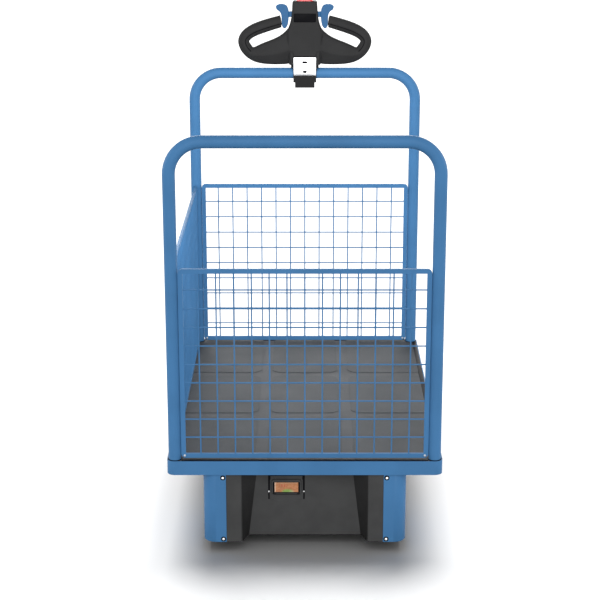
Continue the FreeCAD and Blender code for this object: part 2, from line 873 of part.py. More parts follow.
def clamp_strap():
    """Bright strap plate on the front of the clamp and the foot of the head."""
    half = clamp_half - strap_inset
    low = handle_bar_z - strap_drop
    high = handle_bar_z + strap_rise
    back = head_y - head_depth / 2
    return box(-half, half, back - strap_thickness, back, low, high)


def pieces():
    """Every node of the cart, by name."""
    made = {
        "deck_frame": deck_frame(),
        "deck_board": deck_board(),
        "chassis_beams": chassis_beams(),
        "near_hoop": hoop(-1, near_bar_z),
        "handle_hoop": hoop(1, handle_bar_z),
        "near_mesh_panel": end_panel(-1),
        "handle_mesh_panel": end_panel(1),
        "side_mesh_panel": side_panel(),
        "drive_cover": drive_cover(),
        "right_guard_plate": guard_plate(),
        "left_guard_plate": mirrored(guard_plate()),
        "indicator_bezel": indicator_bezel(),
        "indicator_display": indicator_display(),
        "axle_housing": axle_housing(),
        "drive_motor": drive_motor(),
        "drive_brackets": both_sides(drive_bracket()),
        "stub_axles": both_sides(stub_axle()),
        "battery_box": battery_box(),
        "battery_block": battery_block(),
        "castor_mounts": Part.makeCompound([castor_mount(-1), castor_mount(1)]),
        "head_body": head_body(),
        "left_hand_loop": hand_loop(-1),
        "right_hand_loop": hand_loop(1),
        "thumb_levers": Part.makeCompound([thumb_lever(-1), thumb_lever(1)]),
        "belly_button": belly_button(),
        "head_window": head_window(),
        "bar_clamp": bar_clamp(),
        "clamp_strap": clamp_strap(),
    }
    for name, side in (("left", -1), ("right", 1)):
        made[name + "_drive_hub"], made[name + "_drive_tyre"] = drive_wheel(side)
        made[name + "_castor_fork"] = castor_fork(side)
        made[name + "_castor_axle"] = castor_axle(side)
        made[name + "_castor_hub"], made[name + "_castor_tyre"] = castor_wheel(side)
    return made


def main():
    """Writes one STEP file per node."""
    os.makedirs("parts", exist_ok=True)
    for name, shape in pieces().items():
        shape.exportStep("parts/" + name + ".step")


main()
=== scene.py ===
"""Looks of the electric platform cart: paint, moulded plastic, treads, screws and a plain studio.

Everything is in metres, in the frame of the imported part. It runs as a script, and is laid out as an add-on.
"""

import math

import bmesh
import bpy
from mathutils import Matrix, Vector


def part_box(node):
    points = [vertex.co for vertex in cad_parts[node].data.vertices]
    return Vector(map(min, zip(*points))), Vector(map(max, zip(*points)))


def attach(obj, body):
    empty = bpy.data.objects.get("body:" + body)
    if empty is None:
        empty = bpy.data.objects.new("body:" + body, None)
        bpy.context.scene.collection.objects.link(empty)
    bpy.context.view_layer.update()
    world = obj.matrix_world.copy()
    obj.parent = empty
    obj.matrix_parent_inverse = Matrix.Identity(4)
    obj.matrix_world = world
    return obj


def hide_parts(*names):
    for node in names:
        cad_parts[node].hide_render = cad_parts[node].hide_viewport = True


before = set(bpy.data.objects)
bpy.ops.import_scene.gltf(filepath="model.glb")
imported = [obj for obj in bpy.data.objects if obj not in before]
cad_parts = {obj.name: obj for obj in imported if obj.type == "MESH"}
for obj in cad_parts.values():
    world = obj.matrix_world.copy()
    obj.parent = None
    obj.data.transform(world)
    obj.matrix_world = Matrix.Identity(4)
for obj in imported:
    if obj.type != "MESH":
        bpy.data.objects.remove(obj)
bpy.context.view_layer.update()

bl_info = {
    "name": "Electric Platform Cart",
    "version": (1, 0, 0),
    "blender": (4, 5, 0),
    "location": "3D View > Sidebar > Cart",
    "description": "Finishes the electric platform cart and sets up a plain studio round it",
    "category": "Object",
}

MM = 0.001
TURN = 2 * math.pi


# Places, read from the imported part


def middle(node):
    """Centre of a node's box."""
    low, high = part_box(node)
    return (low + high) / 2


def bar_height():
    """Height of the middle of the handle bar's tube."""
    low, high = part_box("handle_hoop")
    return high.z - (high.y - low.y) / 2


HEAD_ORIGIN = Vector((0, middle("head_body").y, bar_height()))


def on_head(across, forwards, up):
    """A point on the control head, in millimetres from the middle of the head over the handle bar."""
    return HEAD_ORIGIN + Vector((across, -forwards, up)) * MM


# Shader expressions


class Value:
    """One output of a shader node. Arithmetic on it adds Math nodes."""

    def __init__(self, nodes, socket):
        self.nodes = nodes
        self.socket = socket

    def maths(self, operation, first, second):
        """One Math node with two inputs."""
        return self.nodes.add("ShaderNodeMath", {"operation": operation}, {0: first, 1: second})

    def __add__(self, other):
        return self.maths("ADD", self, other)

    def __radd__(self, other):
        return self.maths("ADD", other, self)

    def __sub__(self, other):
        return self.maths("SUBTRACT", self, other)

    def __rsub__(self, other):
        return self.maths("SUBTRACT", other, self)

    def __mul__(self, other):
        return self.maths("MULTIPLY", self, other)

    def __rmul__(self, other):
        return self.maths("MULTIPLY", other, self)


class Nodes:
    """A node tree written as expressions."""

    def __init__(self, tree):
        self.tree = tree
        tree.nodes.clear()

    def add(self, kind, settings=None, sockets=None, output=0):
        """Adds one node: its settings first, then the values or links of its sockets."""
        made = self.tree.nodes.new(kind)
        for key, value in (settings or {}).items():
            if key == "stops":
                self.set_stops(made.color_ramp, value)
            else:
                setattr(made, key, value)
        for key, value in (sockets or {}).items():
            if isinstance(value, Value):
                self.tree.links.new(value.socket, made.inputs[key])
            else:
                made.inputs[key].default_value = value
        return Value(self, made.outputs[output]) if made.outputs else None

    def set_stops(self, ramp, stops):
        """Gives a colour ramp its stops, as places and colours."""
        while len(ramp.elements) < len(stops):
            ramp.elements.new(1.0)
        for element, (place, colour) in zip(ramp.elements, stops):
            element.position = place
            element.color = (*colour, 1.0)

    def place(self, stretch=(1, 1, 1)):
        """The point on the piece, in metres, stretched along its axes."""
        point = self.add("ShaderNodeTexCoord", output="Object")
        return self.add("ShaderNodeVectorMath", {"operation": "MULTIPLY"}, {0: point, 1: stretch})

    def noise(self, place, size, detail=2.0):
        """Noise from 0 to 1, with spots of about that size in metres."""
        return self.add("ShaderNodeTexNoise", sockets={"Vector": place, "Scale": 1 / size, "Detail": detail})

    def cells(self, place, size):
        """Distance to the nearest of scattered points, about that far apart in metres."""
        return self.add("ShaderNodeTexVoronoi", sockets={"Vector": place, "Scale": 1 / size})

    def between(self, value, low, high):
        """0 below low, 1 above high, and smooth between them."""
        sockets = {"Value": value, "From Min": low, "From Max": high}
        return self.add("ShaderNodeMapRange", {"interpolation_type": "SMOOTHSTEP"}, sockets)

    def mix(self, share, first, second):
        """A colour between two colours."""
        ends = [c if isinstance(c, Value) else (*c, 1.0) for c in (first, second)]
        return self.add("ShaderNodeMix", {"data_type": "RGBA"}, {0: share, 6: ends[0], 7: ends[1]}, output=2)

    def along(self, place, name):
        """One coordinate of a point."""
        return self.add("ShaderNodeSeparateXYZ", sockets={0: place}, output=name)

    def surface(self, colour, roughness, height, depth, **constants):
        """Ends the tree in one shader, with a bump of that depth in metres."""
        bump = self.add("ShaderNodeBump", sockets={"Height": height, "Distance": depth, "Strength": 1.0})
        sockets = {"Base Color": colour, "Roughness": roughness, "Normal": bump}
        sockets.update({key.replace("_", " ").title(): value for key, value in constants.items()})
        sockets = {key.replace("Ior", "IOR"): value for key, value in sockets.items()}
        shader = self.add("ShaderNodeBsdfPrincipled", sockets=sockets)
        self.add("ShaderNodeOutputMaterial", sockets={"Surface": shader})


def new_material(name):
    """The material of that name with an empty node tree, and the tree."""
    made = bpy.data.materials.get(name) or bpy.data.materials.new(name)
    made.use_nodes = True
    return made, Nodes(made.node_tree)


def shade(colour, share):
    """A colour made darker or lighter."""
    return tuple(min(1.0, c * share) for c in colour)


# Finishes


def powder_coat(name, colour):
    """Satin powder coat: orange peel, slow changes of tone and a faint film of dust in the gloss."""
    made, nodes = new_material(name)
    place = nodes.place()
    tone = nodes.noise(place, 0.12, 3.0)
    peel = nodes.noise(place, 2.2 * MM)
    dust = nodes.noise(place, 0.03, 4.0)
    base = nodes.mix(nodes.between(tone, 0.3, 0.7), shade(colour, 0.95), shade(colour, 1.06))
    nodes.surface(base, 0.42 + dust * 0.14, peel, 0.02 * MM, specular_ior_level=0.1)
    return made


def moulded_plastic(name, colour, roughness=0.5, grain=0.9 * MM, depth=0.05 * MM, shine=0.05):
    """Moulded plastic with a fine leather-like grain and slightly paler high spots."""
    made, nodes = new_material(name)
    place = nodes.place()
    tone = nodes.noise(place, 0.06, 3.0)
    cells = nodes.cells(place, grain)
    fine = nodes.noise(place, grain / 2)
    base = nodes.mix(nodes.between(tone, 0.3, 0.7), shade(colour, 0.9), shade(colour, 1.12))
    base = nodes.mix(nodes.between(cells, 0.2, 0.7) * 0.35, base, shade(colour, 1.35))
    nodes.surface(base, roughness + tone * 0.12, cells + fine * 0.5, depth, specular_ior_level=shine)
    return made


def smooth_plastic(name, colour, roughness, coat=0.0, shine=0.5):
    """Glossy moulded plastic with a barely wavy skin."""
    made, nodes = new_material(name)
    place = nodes.place()
    tone = nodes.noise(place, 0.02, 3.0)
    smear = nodes.noise(nodes.place((1, 1, 3)), 0.01, 4.0)
    base = nodes.mix(tone, shade(colour, 0.92), shade(colour, 1.08))
    constants = {"specular_ior_level": shine, "coat_weight": coat, "coat_roughness": 0.08}
    nodes.surface(base, roughness + smear * 0.1, tone, 0.05 * MM, **constants)
    return made


def deck_rubber(name, colour, band_colour, band_top):
    """Load surface: fine raised grain with pale flecks, paler where the bands lie lower than the pads."""
    made, nodes = new_material(name)
    place = nodes.place()
    height = nodes.along(place, "Z")
    pads = nodes.between(height, band_top + 0.3 * MM, band_top + 1.0 * MM)
    tone = nodes.noise(place, 0.09, 4.0)
    fleck = nodes.between(nodes.noise(place, 1.6 * MM, 1.0), 0.62, 0.72)
    grain = nodes.cells(place, 2.4 * MM)
    base = nodes.mix(pads, band_colour, colour)
    base = nodes.mix(nodes.between(tone, 0.25, 0.75) * 0.3, base, shade(colour, 0.72))
    base = nodes.mix(fleck * 0.35, base, shade(band_colour, 1.9))
    rough = 0.62 + 0.12 * tone
    nodes.surface(base, rough, 1.0 - grain + fleck * 0.3, 0.35 * MM, specular_ior_level=0.15)
    return made


def brushed_metal(name, colour, stretch):
    """Metal with fine lines along the axis that is stretched least."""
    made, nodes = new_material(name)
    lines = nodes.noise(nodes.place(stretch), 0.8 * MM, 3.0)
    tone = nodes.noise(nodes.place(), 0.03, 3.0)
    base = nodes.mix(lines, shade(colour, 0.86), shade(colour, 1.06))
    nodes.surface(base, 0.28 + 0.16 * tone + 0.08 * lines, lines, 0.03 * MM, metallic=1.0)
    return made


def zinc_plate(name, colour):
    """Zinc plating: cloudy spangle in colour and gloss."""
    made, nodes = new_material(name)
    place = nodes.place()
    cloud = nodes.noise(place, 0.015, 4.0)
    spots = nodes.cells(place, 4 * MM)
    base = nodes.mix(cloud, shade(colour, 0.8), shade(colour, 1.1))
    nodes.surface(base, 0.3 + 0.2 * cloud, spots, 0.03 * MM, metallic=0.9)
    return made


def cast_metal(name, colour):
    """Cast wheel centre with a fine sandy skin."""
    made, nodes = new_material(name)
    place = nodes.place()
    sand = nodes.noise(place, 0.9 * MM, 3.0)
    tone = nodes.noise(place, 0.03, 3.0)
    base = nodes.mix(tone, shade(colour, 0.82), shade(colour, 1.08))
    nodes.surface(base, 0.42 + 0.2 * sand, sand, 0.15 * MM, metallic=0.8)
    return made


def tyre_rubber(name, colour):
    """Dull tyre rubber with dust in its grain."""
    made, nodes = new_material(name)
    place = nodes.place()
    dust = nodes.between(nodes.noise(place, 0.02, 5.0), 0.45, 0.75)
    grain = nodes.noise(place, 0.7 * MM, 3.0)
    base = nodes.mix(dust * 0.35, colour, shade(colour, 2.4))
    nodes.surface(base, 0.72 + 0.16 * grain, grain, 0.12 * MM, specular_ior_level=0.3)
    return made


def gauge_face(name, glow, low_mark, high_mark, line):
    """Face of the battery indicator: a domed gauge, three low marks and pale edges on a warm ground, the lit
    display's glow painted into the base colour with no lamp in it.
    """
    made, nodes = new_material(name)
    low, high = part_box("indicator_display")
    tall = high.z - low.z
    place = nodes.place()
    across = (nodes.along(place, "X") - (low.x + high.x) / 2) * (1 / tall)
    up = (nodes.along(place, "Z") - low.z) * (1 / tall)
    # A low dome right of the middle
    wide = (across - 0.12) * 1.3
    high_up = (up + 0.06) * 2.1
    reach = nodes.add("ShaderNodeMath", {"operation": "SQRT"}, {0: wide * wide + high_up * high_up})
    dome = (1 - nodes.between(reach, 0.5, 1.0)) * 0.85
    # Three marks at the upper left
    stripe = nodes.add("ShaderNodeMath", {"operation": "SINE"}, {0: across * 24.0})
    row = nodes.between(up, 0.5, 0.58) * (1 - nodes.between(up, 0.78, 0.86))
    span = nodes.between(across, -0.72, -0.66) * (1 - nodes.between(across, 0.04, 0.1))
    marks = nodes.between(stripe, 0.0, 0.5) * row * span * 0.6
    # The ground, the dome's fading lower right, and the pale edges at the left and the top
    smudge = nodes.noise(place, 14 * MM)
    faded = (0.62, 0.6, 0.36)
    ground = nodes.mix(nodes.between(smudge, 0.3, 0.7), shade(glow, 0.88), shade(glow, 1.12))
    pale = nodes.between(across, 0.1, 0.75) * (1 - nodes.between(up, 0.1, 0.34))
    gauge = nodes.mix(pale * 0.7, high_mark, faded)
    left = 1 - nodes.between(across, -1.1, -1.0)
    top = nodes.between(up, 0.9, 0.98)
    base = nodes.mix(marks, ground, low_mark)
    base = nodes.mix(dome, base, gauge)
    base = nodes.mix(left * 0.6 + top * 0.3, base, line)
    nodes.surface(base, 0.22 + 0.1 * smudge, marks + dome, 0.05 * MM, coat_weight=0.3, coat_roughness=0.1)
    return made


# Mesh making


class Solid:
    """Points and faces of one piece, collected before it becomes an object."""

    def __init__(self):
        self.points = []
        self.faces = []

    def skin(self, rings, looped=False):
        """Joins a row of rings with as many points each. The ends are closed, or the last ring meets the first."""
        first = len(self.points)
        count = len(rings[0])
        for ring in rings:
            self.points.extend(ring)
        last = len(rings) if looped else len(rings) - 1
        for r in range(last):
            low = first + r * count
            high = first + (r + 1) % len(rings) * count
            for i in range(count):
                j = (i + 1) % count
                self.faces.append((low + i, low + j, high + j, high + i))
        if not looped:
            end = first + (len(rings) - 1) * count
            self.faces.append(tuple(range(first + count - 1, first - 1, -1)))
            self.faces.append(tuple(range(end, end + count)))

    def block(self, low, high, turn=None):
        """A block between two corners, turned by a matrix."""
        turn = turn or Matrix.Identity(4)
        corners = [(low[0], low[1]), (high[0], low[1]), (high[0], high[1]), (low[0], high[1])]
        self.skin([[turn @ Vector((x, y, z)) for x, y in corners] for z in (low[2], high[2])])

    def stack(self, centre, direction, layers, steps=24):
        """Round and six-sided layers along a direction, as (height, radius, whether six-sided)."""
        turn = Vector(direction).to_track_quat("Z", "Y").to_matrix()
        rings = []
        for height, radius, six_sided in layers:
            ring = []
            for i in range(steps):
                angle = TURN * i / steps
                reach = radius
                if six_sided:
                    reach = radius * math.cos(math.pi / 6) / math.cos(angle % (math.pi / 3) - math.pi / 6)
                ring.append(centre + turn @ Vector((reach * math.cos(angle), reach * math.sin(angle), height)))
            rings.append(ring)
        self.skin(rings)

    def bolt_circle(self, centre, direction, radius, count, layers):
        """Bolts spaced evenly on a circle about the X or Y axis, facing along a direction."""
        for i in range(count):
            angle = TURN * (i + 0.5) / count
            first, second = math.cos(angle), math.sin(angle)
            out = Vector((0, first, second)) if direction[0] else Vector((first, 0, second))
            self.stack(centre + out * radius, direction, layers)

    def lathe(self, centre, direction, profile, steps=64):
        """A round piece about a direction, from a closed profile of (distance along it, radius)."""
        turn = Vector(direction).to_track_quat("Z", "Y").to_matrix()
        rings = []
        for i in range(steps):
            angle = TURN * i / steps
            out = Vector((math.cos(angle), math.sin(angle), 0))
            rings.append([centre + turn @ (out * radius + Vector((0, 0, along))) for along, radius in profile])
        self.skin(rings, looped=True)


def make_piece(name, solid, material, body):
    """Makes an object from a solid, with even outward faces, and seats it on a body."""
    old = bpy.data.objects.get(name)
    if old:
        bpy.data.objects.remove(old)
    mesh = bpy.data.meshes.new(name)
    mesh.from_pydata([tuple(p) for p in solid.points], [], solid.faces)
    shell = bmesh.new()
    shell.from_mesh(mesh)
    bmesh.ops.recalc_face_normals(shell, faces=shell.faces)
    shell.to_mesh(mesh)
    shell.free()
    made = bpy.data.objects.new(name, mesh)
    bpy.context.scene.collection.objects.link(made)
    mesh.materials.append(material)
    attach(made, body)
    return made


def add_modifier(piece, name, kind, settings):
    """Adds a modifier with its settings to a piece."""
    modifier = piece.modifiers.new(name, kind)
    for key, value in settings.items():
        setattr(modifier, key, value)


def reshape(piece, *steps):
    """Applies modifiers, given as their type and settings, to a piece's own mesh."""
    for kind, settings in steps:
        add_modifier(piece, kind.title(), kind, settings)
    seen = piece.evaluated_get(bpy.context.evaluated_depsgraph_get())
    mesh = bpy.data.meshes.new_from_object(seen)
    piece.modifiers.clear()
    piece.data = mesh


def cut_with(piece, name, solid, material):
    """Cuts a solid out of a piece that rides on the chassis."""
    cutter = make_piece(name, solid, material, "chassis")
    reshape(piece, ("BOOLEAN", {"object": cutter, "operation": "DIFFERENCE", "solver": "MANIFOLD"}))
    bpy.data.objects.remove(cutter)


def soften(piece, sharp=35):
    """Shades a piece smooth except at edges sharper than that angle in degrees."""
    piece.data.shade_smooth()
    piece.data.set_sharp_from_angle(angle=math.radians(sharp))


def trim(name, solid, material, sharp=35):
    """Makes a finished piece that rides on the chassis, from a solid."""
    soften(make_piece(name, solid, material, "chassis"), sharp)


def bevel(width):
    """A small rounding of every edge sharper than 35 degrees, as a step for reshape."""
    return "BEVEL", {"width": width, "segments": 2, "limit_method": "ANGLE", "angle_limit": math.radians(35)}


def melt(voxel, factor, rounds):
    """Steps for reshape that run overlapping solids together and smooth the joins."""
    return ("REMESH", {"mode": "VOXEL", "voxel_size": voxel}), ("SMOOTH", {"factor": factor, "iterations": rounds})


def finish_node(node, material, edge=0.0):
    """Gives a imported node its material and, with modifiers, slightly rounded edges."""
    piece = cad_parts.get(node)
    if piece is None:
        raise RuntimeError(f"the packed part has no node {node}")
    for slot in piece.material_slots:
        slot.material = material
    piece.modifiers.clear()
    if edge:
        flat = {"decimate_type": "DISSOLVE", "angle_limit": math.radians(0.5)}
        kind, settings = bevel(edge)
        add_modifier(piece, "Joined Edges", "WELD", {"merge_threshold": 0.01 * MM})
        add_modifier(piece, "Flat Faces", "DECIMATE", flat)
        add_modifier(piece, "Rounded Edges", kind, settings | {"harden_normals": True})


def curve_through(points, steps, closed=False):
    """Points on a smooth curve through the given ones, each of any number of coordinates."""
    count = len(points)
    spans = count if closed else count - 1
    made = []
    for i in range(spans):
        a, b, c, d = (points[k % count if closed else min(max(k, 0), count - 1)] for k in range(i - 1, i + 3))
        for step in range(steps):
            t = step / steps
            made.append([smooth_step(p, q, r, s, t) for p, q, r, s in zip(a, b, c, d)])
    if not closed:
        made.append(list(points[-1]))
    return made


def smooth_step(before, start, end, after, t):
    """A number on the smooth curve from start to end that also heeds its neighbours."""
    slope = end - before
    bend = 2 * before - 5 * start + 4 * end - after
    twist = 3 * (start - end) + after - before
    return start + 0.5 * t * (slope + t * (bend + t * twist))


def rounded_ring(half_x, low_y, high_y, radius, steps=5):
    """Points round a rectangle with rounded corners, as (x, y)."""
    radius = min(radius, half_x, (high_y - low_y) / 2)
    corners = [(half_x - radius, low_y + radius, -0.25), (half_x - radius, high_y - radius, 0.0)]
    corners += [(radius - half_x, high_y - radius, 0.25), (radius - half_x, low_y + radius, 0.5)]
    ring = []
    for x, y, start in corners:
        for i in range(steps + 1):
            angle = TURN * (start + 0.25 * i / steps)
            ring.append((x + radius * math.cos(angle), y + radius * math.sin(angle)))
    return ring


def screw_layers(radius, height):
    """A button-head screw with a six-sided recess."""
    return [
        (-0.2 * height, radius, False),
        (0.35 * height, radius, False),
        (0.75 * height, 0.88 * radius, False),
        (height, 0.62 * radius, False),
        (height, 0.46 * radius, True),
        (0.35 * height, 0.44 * radius, True),
    ]


def bolt_layers(radius, height):
    """A six-sided bolt head on its washer."""
    return [
        (-0.1 * height, 1.35 * radius, False),
        (0.18 * height, 1.35 * radius, False),
        (0.2 * height, radius, True),
        (0.92 * height, radius, True),
        (height, 0.88 * radius, False),
    ]


# Sizes and colours


def colour(label, about, value):
    """A colour that can be changed in the sidebar."""
    settings = {"subtype": "COLOR", "size": 3, "min": 0.0, "max": 1.0}
    return bpy.props.FloatVectorProperty(name=label, description=about, default=value, **settings)


def length(label, about, value):
    """A length in metres that can be changed in the sidebar."""
    return bpy.props.FloatProperty(name=label, description=about, default=value, min=0.0, unit="LENGTH", precision=4)


def strength(label, about, value):
    """The strength of a light, which can be changed in the sidebar."""
    return bpy.props.FloatProperty(name=label, description=about, default=value, min=0.0)


class CartColours(bpy.types.PropertyGroup):
    """Colours of the cart's finishes."""

    frame_blue: colour("Frame Blue", "Powder coat of the hoops, deck frame, panels and guards", (0.056, 0.174, 0.36))
    lever_blue: colour("Lever Blue", "Glossy plastic of the thumb levers", (0.013, 0.088, 0.216))
    deck_pad: colour("Deck Pads", "Raised pads of the load surface", (0.067, 0.072, 0.078))
    deck_band: colour("Deck Bands", "Bands between the pads", (0.087, 0.091, 0.097))
    cover_grey: colour("Cover Grey", "Moulded drive cover", (0.056, 0.0565, 0.057))
    head_grey: colour("Head Grey", "Control head and hand loops", (0.0235, 0.0235, 0.024))
    # The recess grey is painted shade: it darkens the walls of the drive cover's recess
    recess_shade_grey: colour("Recess Shade Grey", "Cheeks of the drive cover's recess", (0.031, 0.0312, 0.0315))
    clamp_grey: colour("Clamp Grey", "Clamp of the control head", (0.0145, 0.0145, 0.015))
    # This colour also paints shade, as the black strips round the deck, the indicator's pocket and the strap
    gloss_black_and_painted_shade: colour("Gloss Black", "Window of the head, frame of the indicator, and seals", (0.004, 0.004, 0.005))
    button_red: colour("Button Red", "Reversing button on top of the head", (0.62, 0.015, 0.02))
    black_paint: colour("Black Paint", "Beams, axle and battery box", (0.022, 0.022, 0.024))
    strap_steel: colour("Strap Steel", "Clamp strap and screws", (0.82, 0.82, 0.83))
    zinc: colour("Zinc", "Castor forks, plates and bolts", (0.52, 0.53, 0.55))
    hub_alloy: colour("Hub Alloy", "Cast wheel centres", (0.5, 0.51, 0.52))
    tyre_black: colour("Tyre Black", "Tyre rubber", (0.022, 0.022, 0.023))
    # The gauge's ground and marks paint the glow of the lit display; nothing in it emits light
    gauge_ground: colour("Gauge Ground", "Lit ground of the battery indicator", (0.42, 0.16, 0.055))
    gauge_low: colour("Gauge Low", "Low end of the gauge", (0.42, 0.03, 0.012))
    gauge_high: colour("Gauge High", "High end of the gauge", (0.13, 0.33, 0.045))
    gauge_edge: colour("Gauge Edge", "Pale edges of the gauge", (0.7, 0.5, 0.36))


class HeadSizes(bpy.types.PropertyGroup):
    """Sizes of the control head's detailed pieces."""

    shell_voxel: length("Shell Detail", "Smallest detail of the moulded shell", 1.3 * MM)
    window_depth: length("Window Depth", "How deep the window lies in the shell", 2.5 * MM)
    lever_thickness: length("Lever Thickness", "Thickness of the thumb levers", 12 * MM)
    slot_length: length("Slot Length", "Length of the upper of the strap's two slots", 16 * MM)
    slot_width: length("Slot Width", "Width of the strap's two slots", 7.5 * MM)


class TreadSizes(bpy.types.PropertyGroup):
    """Sizes of the tyre treads."""

    groove_depth: length("Groove Depth", "Depth of the grooves in the drive tyres", 3 * MM)
    groove_width: length("Groove Width", "Width of the grooves round the tyres", 3.2 * MM)
    block_pitch: length("Block Pitch", "Distance from one shoulder block to the next", 15 * MM)


class StudioSettings(bpy.types.PropertyGroup):
    """Camera and light of the studio."""

    camera_lens: bpy.props.FloatProperty(
        name="Lens", description="Focal length of the camera", default=95.0, min=1.0, unit="CAMERA"
    )
    camera_tilt: bpy.props.FloatProperty(
        name="Tilt", description="How far the camera looks down", default=math.radians(15.66), unit="ROTATION"
    )
    camera_back: length("Distance", "Distance of the camera in front of the cart's middle", 4.229)
    camera_height: length("Height", "Height of the camera over the floor", 1.804)
    room_light: strength("Room Light", "The even light from all round", 0.3)
    front_light: strength("Front Light", "The soft sun in front", 0.8)
    back_light: strength("Back Light", "The soft sun behind", 0.6)
    side_light: strength("Side Light", "The soft suns at both sides", 0.45)
    floor_light: strength("Floor Light", "The soft sun on the floor alone", 1.5)
    panel_light: strength("Panel Light", "The soft panel that faces the handle end, in watts", 4.5)


# Pieces


def guard_screws(material, ring_material):
    """Bright screws in dark rings near the inner edge of each blue guard plate, in front and behind."""
    solid = Solid()
    rings = Solid()
    for node, inner in (("left_guard_plate", True), ("right_guard_plate", False)):
        low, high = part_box(node)
        x = high.x - 8 * MM if inner else low.x + 8 * MM
        for y, direction in ((low.y, -1), (high.y, 1)):
            for z in (high.z - 12 * MM, low.z + 8.5 * MM):
                place = Vector((x, y, z))
                solid.stack(place, (0, direction, 0), screw_layers(3.7 * MM, 2.4 * MM))
                rings.stack(place, (0, direction, 0), [(-0.5 * MM, 6.6 * MM, False), (0.4 * MM, 6.6 * MM, False)])
    trim("guard_screws", solid, material)
    trim("guard_rings", rings, ring_material)


def panel_screws(material):
    """Small screws in both lower corners of the mesh panels at the two ends."""
    solid = Solid()
    leg_inner = 314 * MM
    for node in ("near_mesh_panel", "handle_mesh_panel"):
        low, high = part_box(node)
        for side in (-1, 1):
            for direction in (-1, 1):
                y = (low.y + high.y) / 2 + direction * 3 * MM
                place = Vector((side * (leg_inner - 9 * MM), y, low.z + 6.5 * MM))
                solid.stack(place, (0, direction, 0), screw_layers(3.2 * MM, 1.8 * MM))
    trim("panel_screws", solid, material)


def deck_shade_and_leg_seals(material):
    """Black strip round the edge of the load surface, painted shade in the gap between the rim and the board, and a
    seal round the foot of each hoop leg.
    """
    low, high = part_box("deck_board")
    top = high.z + 0.3 * MM
    bottom = high.z - 3 * MM
    wide = 12 * MM
    notch = 34 * MM  # Each corner of the board is left free for a hoop's leg
    # The black strip is painted shade in the gap between the rim and the board
    solid = Solid()
    for side in (-1, 1):
        y0, y1 = sorted((side * high.y, side * (high.y - wide)))
        solid.block((low.x + notch, y0, bottom), (high.x - notch, y1, top))
        x0, x1 = sorted((side * high.x, side * (high.x - wide)))
        solid.block((x0, low.y + notch, bottom), (x1, high.y - notch, top))
    shade_seal = make_piece("deck_shade_strip", solid, material, "chassis")
    reshape(shade_seal, bevel(0.4 * MM))
    soften(shade_seal)
    rings = Solid()
    leg_radius = 16 * MM
    inner, crown, outer = leg_radius - 0.2 * MM, leg_radius + 1 * MM, leg_radius + 2.2 * MM
    profile = [(-1 * MM, inner), (-1 * MM, outer), (0.6 * MM, outer), (1.4 * MM, crown), (1.4 * MM, inner)]
    deck = high.z
    for node in ("near_hoop", "handle_hoop"):
        low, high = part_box(node)
        for side in (-1, 1):
            foot = Vector((side * (high.x - leg_radius), (low.y + high.y) / 2, deck))
            rings.lathe(foot, (0, 0, 1), profile, 40)
    trim("leg_seals", rings, material)


def recess_shade_cheeks(material):
    """Thin dark cheeks on both slanting walls of the cover's recess, which is narrower at its top; their darker grey
    is painted shade on the walls.
    """
    low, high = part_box("drive_cover")
    solid = Solid()
    steps = 16
    mouth_half = 161.5 * MM
    foot_half, top_half = 146.5 * MM, 123.5 * MM
    mouth_depth, back_depth = 2 * MM, 42.3 * MM
    half_thickness = 1.6 * MM
    for side in (-1, 1):
        rings = []
        for i in range(steps + 1):
            share = i / steps
            half = foot_half + share * (top_half - foot_half)
            z = low.z + 1 * MM + share * (high.z - low.z - 1 * MM)
            front = Vector((side * mouth_half, low.y + mouth_depth, z))
            back = Vector((side * half, low.y + back_depth, z))
            wall = (back - front).normalized()
            out = Vector((-side * abs(wall.y), -abs(wall.x), 0)) * half_thickness
            rings.append([front - out, back - out, back + out, front + out])
        solid.skin(rings)
    trim("recess_shade_cheeks", solid, material)


def pocket_trim(shade_seal, steel):
    """Black strips over the indicator's pocket and down both its sides, painted shadow where the pocket's edges throw
    shade, with a small screw at each lower end.
    """
    place = middle("indicator_display")
    _, cover_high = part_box("drive_cover")
    _, bezel_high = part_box("indicator_bezel")
    floor = bezel_high.y
    top = cover_high.z
    pocket_half, shade_strip_half = 41.4 * MM, 47 * MM
    shade_strips = Solid()
    screws = Solid()
    shade_strips.block((place.x - pocket_half, floor - 2.5 * MM, top - 25.5 * MM), (place.x + pocket_half, floor, top))
    # The black strip of painted shadow is narrower lower down, and its foot stands apart
    upper, lower = top - 36 * MM, place.z - 9 * MM
    foot_low, foot_high = place.z - 34 * MM, place.z - 18 * MM
    for side in (-1, 1):
        outer = place.x + side * shade_strip_half
        for width, low, high in ((5.6, upper, top), (4.4, lower, upper), (3.4, foot_low, foot_high)):
            x0, x1 = sorted((outer, outer - side * width * MM))
            shade_strips.block((x0, floor - 2.6 * MM, low), (x1, floor, high))
        centre = Vector((outer - side * 1.7 * MM, floor - 1 * MM, place.z - 12.5 * MM))
        screws.stack(centre, (0, -1, 0), screw_layers(2.3 * MM, 1.8 * MM))
    trim("pocket_shade_strips", shade_strips, shade_seal)
    trim("pocket_screws", screws, steel)


